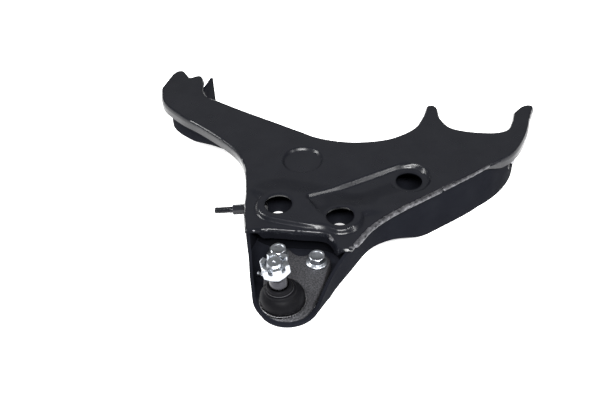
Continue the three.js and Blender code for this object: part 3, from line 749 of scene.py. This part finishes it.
# ---- turned pieces
def spun(name, rows, segments=72, smooth_angle=SMOOTH_ANGLE, ridge=None, closed=False):
    """A solid spun about Z. Each row is (radius, z); a radius may be a function of the angle.

    Closed rows are a ring's section; open ones start and end on the axis.
    ridge = (z0, z1, pitch, depth) cuts a helical thread between two heights.
    """
    if ridge:
        z0, z1, pitch, _ = ridge
        rows = refine_rows(rows, z0, z1, pitch / 6)
    vertices, faces, rings = [], [], []
    for radius, z in rows:
        if not callable(radius) and radius < 1e-6:
            rings.append([len(vertices)])
            vertices.append((0, 0, z))
            continue
        rings.append([len(vertices) + k for k in range(segments)])
        for k in range(segments):
            angle = 2 * math.pi * k / segments
            r = radius(angle) if callable(radius) else radius
            if ridge and ridge[0] < z < ridge[1]:
                r -= thread_depth(angle, z, ridge)
            vertices.append((r * math.cos(angle), r * math.sin(angle), z))
    pairs = list(zip(rings, rings[1:]))
    if closed:
        pairs.append((rings[-1], rings[0]))
    for a, b in pairs:
        for k in range(segments):
            n = (k + 1) % segments
            if len(a) == 1:
                faces.append((a[0], b[n], b[k]))
            elif len(b) == 1:
                faces.append((a[k], a[n], b[0]))
            else:
                faces.append((a[k], a[n], b[n], b[k]))
    piece = make_mesh(name, vertices, faces, smooth_angle)
    weld_points(piece, 0.001)
    shade(piece, smooth_angle)
    return piece


def refine_rows(rows, z0, z1, step):
    """Adds rows between two heights, along the straight lines of the profile there."""
    fine = [rows[0]]
    for (ra, za), (rb, zb) in zip(rows, rows[1:]):
        plain = not callable(ra) and not callable(rb)
        inside_zone = min(za, zb) >= z0 - 1e-6 and max(za, zb) <= z1 + 1e-6
        if plain and inside_zone and abs(zb - za) > step:
            count = math.ceil(abs(zb - za) / step)
            fine += [(ra + (rb - ra) * i / count, za + (zb - za) * i / count) for i in range(1, count)]
        fine.append((rb, zb))
    return fine


def thread_depth(angle, z, ridge):
    z0, z1, pitch, depth = ridge
    phase = (z / pitch - angle / (2 * math.pi)) % 1
    fade = float(smoothstep(z, z0, z0 + pitch) * (1 - smoothstep(z, z1 - pitch, z1)))
    return depth * fade * (1 - abs(2 * phase - 1)) ** 0.8


def hexagonal(across_flats, limit):
    """Radius of a hexagon at an angle, cut back to a limit at its corners."""
    def radius(angle):
        turn = (angle % (math.pi / 3)) - math.pi / 6
        return min(across_flats / 2 / math.cos(turn), limit)
    return radius


def hexagon_rows(across_flats, z0, z1, chamfer):
    """Rows of a hexagonal prism whose corners are coned off at both ends."""
    corner, crown = across_flats / math.sqrt(3), across_flats / 2 * 0.97
    def row(t, z):
        return hexagonal(across_flats, crown + (corner - crown) * t), z

    rows = [row(t, z0 + chamfer * t) for t in np.linspace(0, 1, 5)]
    rows += [row(t, z1 - chamfer * t) for t in np.linspace(1, 0, 5)]
    return rows


LEAN_TURN = LEAN.rotation_difference(Vector((0, 0, 1))).inverted().to_matrix().to_4x4()
LEANING = Matrix.Translation((0, 0, BALL_Z)) @ LEAN_TURN @ Matrix.Translation((0, 0, -BALL_Z))


def shear(piece):
    """Moves the boot's points sideways so that its neck ends round the leaning stud."""
    for v in piece.data.vertices:
        height = v.co.z / MM
        along = (height - BALL_Z) * float(smoothstep(height, *BOOT_LEAN_ZONE)) / LEAN.z
        v.co.x += LEAN.x * along * MM
        v.co.y += LEAN.y * along * MM
    piece.data.update()
    return piece


# ---- ball joint
def build_ball_stud():
    ball = []
    for turn in np.linspace(-47.6, 62.8, 22):
        a = math.radians(turn)
        ball.append((BALL_RADIUS * math.cos(a), BALL_Z + BALL_RADIUS * math.sin(a)))
    rows = [
        (0, ball[0][1]), *ball, (5.8, 42.2), (5.9, 45), (6.6, 49), (8.2, 54.5), (8.5, 56), (8.5, 58.5),
        (8.0, 66), (7.6, 66.8), (7.5, 67.4), (7.5, 86.6), (6.4, 87.7), (6.0, 88), (1.6, 88), (1.2, 87.5),
        (0, 86.4),
    ]
    stud = spun("ball_stud_turned", rows, 64, ridge=(67.4, 86.6, 1.5, 0.75))
    hole = spun("pin_hole_tool", [(0, -14), (1.9, -14), (1.9, 14), (0, 14)], 24)
    transform(hole, Matrix.Translation((0, 0, 72.6)) @ Matrix.Rotation(math.radians(90), 4, "X"))
    return transform(cut(stud, hole), LEANING)


def build_castle_nut():
    foot, top, slot_depth = 75.5, 87.6, 5.4
    rows = [(0, foot), *hexagon_rows(24, foot, top, 1.5), (0, top)]
    nut = spun("castle_nut_body", rows)
    bore = spun("bore_tool", [(0, 70), (7.75, 70), (7.75, 86), (9.0, 88.5), (0, 88.5)], 48)
    cut(nut, bore)
    for i in range(3):
        nut = cut(nut, slot_tool(top - slot_depth, math.pi / 3 * i + math.pi / 6))
    soften(nut, 0.35, 2, 40)
    return transform(nut, LEANING)


def slot_tool(floor, turn):
    """A long round-bottomed bar across the nut."""
    section = [(-2.1, 12), (-2.1, 1.6), (-1.5, 0.5), (0, 0), (1.5, 0.5), (2.1, 1.6), (2.1, 12)]
    vertices = [(x, y, floor + z) for x in (-20, 20) for y, z in section]
    count = len(section)
    faces = [(i, (i + 1) % count, count + (i + 1) % count, count + i) for i in range(count)]
    faces += [tuple(range(count)), tuple(range(2 * count - 1, count - 1, -1))]
    tool = make_mesh("slot_tool", vertices, faces)
    weld_points(tool)
    return transform(tool, Matrix.Rotation(turn, 4, "Z"))


BOOT_OUTSIDE = [
    (19.2, 33.4), (20.1, 33.8), (20.3, 34.6), (20.3, 36.4), (20.7, 37.4), (21.0, 39.2),
    (20.9, 41.2), (20.3, 43.2), (19.2, 45.6), (17.6, 47.6), (16.1, 49.0), (14.9, 49.8),
    (14.6, 50.5), (14.7, 51.2), (14.2, 52.1), (13.2, 52.4), (12.4, 52.3), (12.1, 52.9),
    (12.1, 54.2), (11.9, 55.6), (11.7, 56.6), (11.2, 57.5), (10.5, 58.0), (9.4, 58.0), (8.9, 57.4),
]
BOOT_SPLIT = 39.2
BOOT_BORE = 18.9
BOOT_LEAN_ZONE = (35.4, 58)  # the heights between which the boot leans over to the stud


def build_boot():
    """The rubber boot in two pieces with a level seam."""
    wall = 1.9
    split = [i for i, (_, z) in enumerate(BOOT_OUTSIDE) if z == BOOT_SPLIT][0]
    outside = [np.array(p) for p in BOOT_OUTSIDE]
    inner = []
    for i, p in enumerate(outside):
        before, after = outside[max(i - 1, 0)], outside[min(i + 1, len(outside) - 1)]
        along = (after - before) / np.linalg.norm(after - before)
        inner.append(p + wall * np.array([-along[1], along[0]]))
    inner = [np.array([min(r, BOOT_BORE), z]) for r, z in inner if r > 9.3]
    inner = [p for i, p in enumerate(inner) if i == 0 or p[1] > inner[i - 1][1] - 0.2]
    seam = np.array([BOOT_BORE, BOOT_SPLIT])
    low_inner = [p for p in inner if p[1] < BOOT_SPLIT - 0.3] + [seam]
    high_inner = [seam] + [p for p in inner if BOOT_SPLIT + 0.3 < p[1] < 56]
    halves = {
        "dust_boot_foot": [*outside[: split + 1], *reversed(low_inner)],
        "dust_boot_dome": [*outside[split:], *reversed(high_inner)],
    }
    pieces = []
    for name, section in halves.items():
        piece = spun(name, [tuple(p) for p in section], 96, closed=True, smooth_angle=50)
        pieces.append(shear(piece))
    return pieces


def ring_section(inner, outer, low, high, round_edge):
    """A ring's section with rounded corners, going round from the foot's inside."""
    r = round_edge
    corners = [
        (inner + r, low + r, 180), (outer - r, low + r, 270),
        (outer - r, high - r, 0), (inner + r, high - r, 90),
    ]
    section = []
    for x, z, start in corners:
        for turn in (0, 45, 90):
            a = math.radians(start + turn)
            section.append((x + r * math.cos(a), z + r * math.sin(a)))
    return section


def build_housing():
    (left_x, bolt_y), (right_x, _) = FLANGE_BOLTS
    lug = 13
    middle = (left_x + right_x) / 2
    plan = joined(
        arc(*FLANGE_ROUND, FLANGE_RADIUS, 190, 350),
        curve([(29, 6), (30.5, 30), (right_x + lug, bolt_y)]),
        arc(right_x, bolt_y, lug, 10, 90),
        curve([(right_x - 6, bolt_y + lug - 1), (middle, bolt_y + 5), (left_x + 6, bolt_y + lug - 1)]),
        arc(left_x, bolt_y, lug, 90, 170),
        curve([(left_x - lug, bolt_y), (-29, 30), (-21.5, 6)]),
    )
    foot = POCKET_FLOOR + GAP
    rings = edge_rings(plan, (0.2, 0.5, 1.0, 1.6, 2.2))
    boss = (1.5, 0.5)
    collar = np.concatenate([circle(*boss, r, 1.8) for r in (20.5, 21.4, 22.0, 22.6, 23.4)])
    extra = thin_out(np.concatenate([rings, collar]), 0.45)
    points, faces, loops, from_edge = plan_triangles(plan, [], extra, 2.2, 2.6)
    rise = 0.5 * (1 - smoothstep(np.linalg.norm(points - np.array(boss), axis=1), 21.2, 22.8))
    cast = np.array([0.10 * noise.noise(Vector((x * 0.6, y * 0.6, 1))) for x, y in points])
    z = FLANGE_TOP + rise + cast * smoothstep(from_edge, 0, 2) - rounded_drop(from_edge, 2.2)
    vertices = [(x, y, h) for (x, y), h in zip(points, z)]
    top_count = len(vertices)
    over_floor = np.linalg.norm(points - np.array(FLANGE_ROUND), axis=1) > FLANGE_RADIUS + 0.2
    under_z = np.maximum(foot, nose_height(points[:, 1]) + (WALL + GAP) * over_floor)
    vertices += [(x, y, h) for (x, y), h in zip(points, under_z)]
    loop = loops[0]
    faces = [tuple(f) for f in faces]
    under = [tuple(top_count + i for i in reversed(f)) for f in faces]
    side = [(loop[k], top_count + loop[k], top_count + loop[(k + 1) % len(loop)], loop[(k + 1) % len(loop)])
            for k in range(len(loop))]
    flange = make_mesh("ball_joint_flange", vertices, faces + under + side)
    weld_points(flange, 0.001)
    for x, y in FLANGE_BOLTS:
        hole = spun("bolt_hole_tool", [(0, 10), (5.4, 10), (5.4, 50), (0, 50)], 48)
        cut(flange, transform(hole, Matrix.Translation((x, y, 0))))
    bore = spun("housing_bore_tool", [(0, 10), (16.9, 10), (16.9, 50), (0, 50)], 72)
    cut(flange, bore)
    cup = spun("ball_joint_cup", [
        (10.4, 16.4), (11.4, 16.2), (12.3, 16.5), (14.6, 19.5), (16.2, 22), (17.0, 26), (17.2, 30),
        (17.2, 36.3), (16.9, 36.9), (16.2, 37), (12.5, 36.5), (12.1, 36.1), (12.1, 35.7), (14.9, 35.6),
        (14.9, 30), (14.5, 26.5), (13.4, 23.4), (11.8, 20.9), (10.4, 19.3),
    ], 96, closed=True)
    return join("ball_joint_forging", [flange, cup])


def build_bottom_cap():
    rows = [
        (0, 16.6), (4, 16.6), (5.4, 16.3), (6.6, 16.2), (9.4, 16.2), (9.9, 16.4), (10, 16.7), (10, 17.2),
        (0, 17.2),
    ]
    return spun("bottom_cap_pressed", rows, 72, 45)


def build_flange_bolt(x, y, name):
    foot = FLANGE_TOP + GAP
    across = 15
    rows = [
        (0, 5), (4.2, 5), (4.9, 6), (4.9, 18), (5.0, 18.4), (5.0, foot), (10.3, foot), (10.7, foot + 0.4),
        (10.7, foot + 1.1), (10.4, foot + 1.5), (9.2, foot + 1.9), (8.0, foot + 2.6),
        (hexagonal(across, 8.0), foot + 2.8),
    ]
    rows += [row for row in hexagon_rows(across, foot + 2.8, foot + 9.2, 1.1)][4:]
    rows += [(6.2, foot + 9.2), (5.6, foot + 8.8), (5.0, foot + 8.4), (0, foot + 8.3)]
    bolt = spun(name, rows, 72, ridge=(5.9, 18, 1.5, 0.6))
    return transform(bolt, Matrix.Translation((x, y, 0)))


def build_flange_nut(x, y, name):
    top = POCKET_FLOOR - WALL - GAP
    foot = top - 9
    rows = hexagon_rows(16, foot, top, 1.2)
    rows = [(5.3, foot + 1), (6.2, foot), *rows, (6.2, top), (5.3, top - 1), (5.3, foot + 1)]
    nut = spun(name, rows, 72)
    return transform(nut, Matrix.Translation((x, y, 0)))


def build_nipple():
    collar = [(hexagonal(7.2, limit), z) for limit, z in ((4.0, 0.05), (4.1, 0.4), (4.1, 2.4), (3.7, 2.8))]
    rows = [
        (0, -6.4), (2.9, -6.4), (2.9, 0), *collar, (2.5, 3.0), (2.4, 3.6), (1.9, 4.4), (1.9, 5.2),
        (2.5, 5.9), (2.7, 6.4), (2.5, 7.0), (1.8, 7.8), (0.9, 8.0), (0.5, 7.7), (0, 7.7),
    ]
    nipple = spun("grease_nipple_body", rows, 48)
    turn = Matrix.Rotation(math.radians(-90), 4, "Y")
    return transform(nipple, Matrix.Translation(NIPPLE_AT) @ turn)


# ---- side stud and bushes
def build_side_stud():
    shoulder, length = 25, 44
    rows = [(0, -9.5), (3.5, -9.5), (3.5, 0.6), *hexagon_rows(10, 0.6, shoulder, 0.9), (3.7, shoulder),
            (3.4, shoulder + 0.3), (3.4, shoulder + 1.4), (3.7, shoulder + 1.9), (3.7, length - 1.7),
            (2.9, length - 0.6), (2.4, length), (0, length)]
    stud = spun("side_stud_turned", rows, 48, ridge=(shoulder + 1.9, length - 1.1, 1.25, 0.6))
    heading = math.atan2(SIDE_STUD_ALONG.y, SIDE_STUD_ALONG.x)
    turn = Matrix.Rotation(heading, 4, "Z") @ Matrix.Rotation(math.radians(90), 4, "Y")
    return transform(stud, Matrix.Translation(SIDE_STUD_AT) @ turn)


def along_pivot(piece):
    turn = Matrix.Rotation(math.radians(90), 4, "Y")
    return transform(piece, Matrix.Translation((0, PIVOT_Y, PIVOT_Z)) @ turn)


def build_bush_tube(name, x0, x1):
    section = ring_section(BUSH_TUBE_BORE, BUSH_TUBE_RADIUS, x0 + WALL + GAP, x1 - WALL - GAP, 0.5)
    return along_pivot(spun(name, section, 72, closed=True))


def build_bush_rubber(name, x0, x1):
    """Rubber bonded between the sleeve and the tube, hollowed at both ends, with a bead against the tube."""
    end = [(10.8, 0.9), (11.4, 0.1), (12.2, 0.7), (12.8, 1.1), (13.6, 0.6), (14.3, 0.1), (14.7, 0.9)]
    section = [(radius, x0 + depth) for radius, depth in end]
    section += [(radius, x1 - depth) for radius, depth in reversed(end)]
    return along_pivot(spun(name, section, 72, closed=True, smooth_angle=80))


def build_bush_sleeve(name, ears):
    x0, x1 = ears[0] - SLEEVE_PROUD, ears[1] + SLEEVE_PROUD
    outer, inner = SLEEVE_RADIUS, SLEEVE_BORE
    a, b = 0.6, 0.7  # chamfers outside and inside
    section = [
        (inner + b, x0), (outer - a, x0), (outer, x0 + a), (outer, x1 - a),
        (outer - a, x1), (inner + b, x1), (inner, x1 - b), (inner, x0 + b),
    ]
    return along_pivot(spun(name, section, 72, closed=True))


# ---- materials
def new_material(name):
    material = bpy.data.materials.new(name)
    material.use_nodes = True
    tree = material.node_tree
    tree.nodes.clear()
    output = tree.nodes.new("ShaderNodeOutputMaterial")
    shader = tree.nodes.new("ShaderNodeBsdfPrincipled")
    tree.links.new(shader.outputs["BSDF"], output.inputs["Surface"])
    return material, tree, shader


def noise_node(tree, scale, detail):
    place = tree.nodes.get("place") or tree.nodes.new("ShaderNodeTexCoord")
    place.name = "place"
    node = tree.nodes.new("ShaderNodeTexNoise")
    node.inputs["Scale"].default_value = scale
    node.inputs["Detail"].default_value = detail
    node.inputs["Roughness"].default_value = 0.55
    tree.links.new(place.outputs["Object"], node.inputs["Vector"])
    return node.outputs["Fac"]


def ramp(tree, source, ends):
    """A ramp between two greys or colours."""
    node = tree.nodes.new("ShaderNodeValToRGB")
    for element, position, colour in zip(node.color_ramp.elements, (0.3, 0.7), ends):
        element.position = position
        element.color = (*colour, 1) if isinstance(colour, tuple) else (colour, colour, colour, 1)
    tree.links.new(source, node.inputs["Fac"])
    return node.outputs["Color"]


def surface(name, colours, roughs, noises, strength, depth, shine, metallic):
    """A material whose colour, roughness and fine relief each follow a noise of (scale, detail)."""
    material, tree, shader = new_material(name)
    colour_noise, rough_noise, relief_noise = [noise_node(tree, *each) for each in noises]
    tree.links.new(ramp(tree, colour_noise, colours), shader.inputs["Base Color"])
    tree.links.new(ramp(tree, rough_noise, roughs), shader.inputs["Roughness"])
    shader.inputs["Metallic"].default_value = metallic
    shader.inputs["Specular IOR Level"].default_value = shine
    relief = tree.nodes.new("ShaderNodeBump")
    relief.inputs["Strength"].default_value = strength
    relief.inputs["Distance"].default_value = depth * MM
    tree.links.new(relief_noise, relief.inputs["Height"])
    tree.links.new(relief.outputs["Normal"], shader.inputs["Normal"])
    return material


def paint_material(name, shine, tone, roughs):
    """Black electrocoat: fine orange peel, faint cloudiness and dust-dull patches."""
    shades = (0.0062, 0.0067, 0.0092), (0.0082, 0.0088, 0.0115)
    colours = [tuple(tone * c for c in rgb) for rgb in shades]
    return surface(name, colours, roughs, [(45, 5), (60, 6), (900, 3)], 0.12, 0.25, shine, 0.0)


def simple_metal(
    name, colours, roughs, scale=140, grain=900, strength=0.1, metallic=1.0, depth=0.2, shine=0.5,
):
    noises = [(scale, 5), (scale * 2.3, 4), (grain, 4)]
    return surface(name, colours, roughs, noises, strength, depth, shine, metallic)


PAINT = paint_material("black_paint", 0.22, 0.75, (0.22, 0.29))
WALL_PAINT = paint_material("black_paint_below", 0.002, 0.85, (0.45, 0.55))
# A darker copy of the black paint for the pocket web: its low tone is painted shade deep in the ball-joint
# pocket.
SHADED_POCKET_PAINT = paint_material("black_paint_pocket_painted_shade", 0.001, 0.3, (0.5, 0.6))
FORGED = simple_metal(
    "forged_skin", [(0.015, 0.015, 0.017), (0.10, 0.10, 0.108)], (0.36, 0.5), 650, 1100, 0.8, 0.7, 0.6)
ZINC = simple_metal("zinc_plate", [(0.26, 0.275, 0.30), (0.38, 0.40, 0.43)], (0.28, 0.4), 160, 700)
SHADED_SHANK = simple_metal("turned_shank_painted_shade", [(0.022, 0.022, 0.026), (0.042, 0.042, 0.047)], (0.24, 0.34))
# The shank's near-black steel is painted shade: it stands for the shade under the castle nut, and the steel
# itself is lighter.
STEEL = simple_metal("machined_steel", [(0.24, 0.24, 0.25), (0.36, 0.36, 0.375)], (0.2, 0.32))
DARK_STEEL = simple_metal("oiled_steel", [(0.03, 0.03, 0.034), (0.06, 0.06, 0.065)], (0.4, 0.5))
WELD = simple_metal(
    "weld_bead", [(0.008, 0.008, 0.010), (0.13, 0.13, 0.14)], (0.3, 0.55), 260, 600, 0.5, 0.6, 0.5)
RUBBER = simple_metal(
    "boot_rubber", [(0.0025, 0.0025, 0.003), (0.0045, 0.0045, 0.0055)], (0.4, 0.52), 90, 1300, 0.2, 0.0,
    shine=0.03)
LINER = simple_metal(
    "bearing_plastic", [(0.62, 0.60, 0.52), (0.72, 0.70, 0.62)], (0.4, 0.5), 90, metallic=0.0)
FINISHES = {
    "black_paint": PAINT, "weld_metal": WELD, "forging": FORGED, "zinc": ZINC, "steel": STEEL,
    "rubber": RUBBER, "liner": LINER,
}


def to_frame(piece):
    return transform(piece, Matrix.Translation((0, 0, -FOOT_LEVEL)))


def finish_piece(piece, slot, body, replaces=(), finish=None):
    to_frame(piece)
    piece.data.materials.clear()
    piece.data.materials.append(finish or FINISHES[slot])
    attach(piece, body)
    if replaces:
        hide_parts(*replaces)
    return piece


# ---- camera, light and floor
def build_stage():
    target = Vector((28.5, 140, PLATE_TOP - FOOT_LEVEL)) * MM
    azimuth, elevation, distance = math.radians(14), math.radians(40.6), 0.846
    level = math.cos(elevation)
    toward = Vector((math.sin(azimuth) * level, -math.cos(azimuth) * level, math.sin(elevation)))
    camera = link_object("camera", bpy.data.cameras.new("camera"))
    camera.data.lens = 49.5
    camera.data.sensor_width = 36
    camera.data.shift_x = -0.0833
    camera.data.shift_y = -0.0033
    camera.location = target + toward * distance
    camera.rotation_euler = (-toward).to_track_quat("-Z", "Y").to_euler()
    bpy.context.scene.camera = camera
    bpy.context.scene.view_settings.view_transform = "Standard"

    world = bpy.data.worlds.new("studio")
    world.use_nodes = True
    background = world.node_tree.nodes["Background"]
    background.inputs["Color"].default_value = (1, 1, 1, 1)
    background.inputs["Strength"].default_value = 0.16
    bpy.context.scene.world = world

    low = cad_box[0][2] / MM - 0.2
    corners = [(-4000, -4000, low), (4000, -4000, low), (4000, 4000, low), (-4000, 4000, low)]
    floor = make_mesh("floor", corners, [(0, 1, 2, 3)])
    material, _, shader = new_material("pale_floor")
    shader.inputs["Base Color"].default_value = (0.93, 0.93, 0.93, 1)
    shader.inputs["Roughness"].default_value = 0.8
    shader.inputs["Emission Color"].default_value = (1, 1, 1, 1)
    shader.inputs["Emission Strength"].default_value = 0.75
    floor.data.materials.append(material)

    def soft_light(name, place, size, power):
        lamp = link_object(name, bpy.data.lights.new(name, "AREA"))
        lamp.data.shape = "RECTANGLE"
        lamp.data.size, lamp.data.size_y = size
        lamp.data.energy = power
        lamp.location = place
        lamp.rotation_euler = (Vector((0, 0.15, 0)) - Vector(place)).to_track_quat("-Z", "Y").to_euler()

    soft_light("front_softbox", (0.35, -0.9, 1.35), (1.1, 0.3), 80)
    soft_light("left_softbox", (-1.3, -0.1, 1.0), (0.2, 0.8), 24)
    soft_light("right_softbox", (1.3, 0.0, 0.9), (0.2, 0.8), 12)
    soft_light("back_panel", (-0.15, 1.35, 1.15), (1.8, 0.9), 1.6)


build_stage()
finish_piece(build_upper_shell(), "black_paint", "root", ["upper_shell"])
finish_piece(build_lower_shell(), "black_paint", "root", ["lower_shell"], WALL_PAINT)
# The pocket web gets the darker paint, which is painted shade for the pocket.
finish_piece(build_pocket_web(), "black_paint", "root", ["pocket_web"], SHADED_POCKET_PAINT)
finish_piece(build_edge_weld(), "weld_metal", "root", ["edge_weld"])

finish_piece(build_bush_tube("front_bush_shell", *FRONT_EARS), "black_paint", "root", ["front_bush_tube"])
finish_piece(build_bush_tube("rear_bush_shell", *REAR_EARS), "black_paint", "root", ["rear_bush_tube"])
for name, x0, x1 in [
    ("front_bush_rubber", FRONT_EARS[0] + 4, FRONT_EARS[1] - 4),
    ("rear_bush_rubber_inner", REAR_EARS[0] + 4, REAR_EARS[0] + 46),
    ("rear_bush_rubber_outer", REAR_EARS[1] - 46, REAR_EARS[1] - 4),
]:
    finish_piece(build_bush_rubber(name + "_moulding", x0, x1), "rubber", "root", [name])
for end, ears in (("front", FRONT_EARS), ("rear", REAR_EARS)):
    sleeve = build_bush_sleeve(f"{end}_inner_sleeve", ears)
    finish_piece(sleeve, "steel", f"{end}_sleeve", [f"{end}_bush_sleeve"])

finish_piece(build_housing(), "forging", "root", ["ball_joint_housing"])
finish_piece(build_bottom_cap(), "steel", "root", ["ball_joint_bottom_cap"])
stud = finish_piece(build_ball_stud(), "steel", "stud", ["ball_stud"], SHADED_SHANK)
stud.data.materials.append(FINISHES["zinc"])
# Faces below THREAD_FOOT keep the shank colour, which is painted shade; the plated faces above it get zinc.
for face in stud.data.polygons:
    face.material_index = int(face.center.z / MM > THREAD_FOOT - FOOT_LEVEL)
finish_piece(build_castle_nut(), "zinc", "stud", ["castle_nut"])
finish_piece(build_nipple(), "zinc", "root", ["grease_nipple"])
base_ring = spun("boot_base_clamp", ring_section(20.6, 22.0, 33.8, 36.4, 0.4), 96, closed=True)
finish_piece(base_ring, "steel", "root", ["boot_base_ring"])
neck_ring = spun("boot_neck_clip", ring_section(12.2, 12.9, 53.2, 54.4, 0.3), 96, closed=True)
finish_piece(shear(neck_ring), "steel", "boot_neck", ["boot_neck_ring"], DARK_STEEL)
foot, dome = build_boot()
for piece in (foot, dome):
    to_frame(piece)
    piece.data.materials.append(FINISHES["rubber"])
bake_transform(foot)
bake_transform(dome)
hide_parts("dust_boot")
for i, (x, y) in enumerate(FLANGE_BOLTS, 1):
    finish_piece(build_flange_bolt(x, y, f"flange_bolt_{i}_turned"), "zinc", "root", [f"flange_bolt_{i}"])
    finish_piece(build_flange_nut(x, y, f"flange_nut_{i}_turned"), "zinc", "root", [f"flange_nut_{i}"])
finish_piece(build_side_stud(), "black_paint", "root", ["side_stud"])

# The pieces inside the joint and the side stud's nut keep their CAD shape and get a full finish.
slots = {row["node"]: row["material_slot"] for row in frame["record"]["subparts"]}
for node, piece in frame["nodes"].items():
    piece.data.materials.clear()
    piece.data.materials.append(FINISHES[slots[node]])
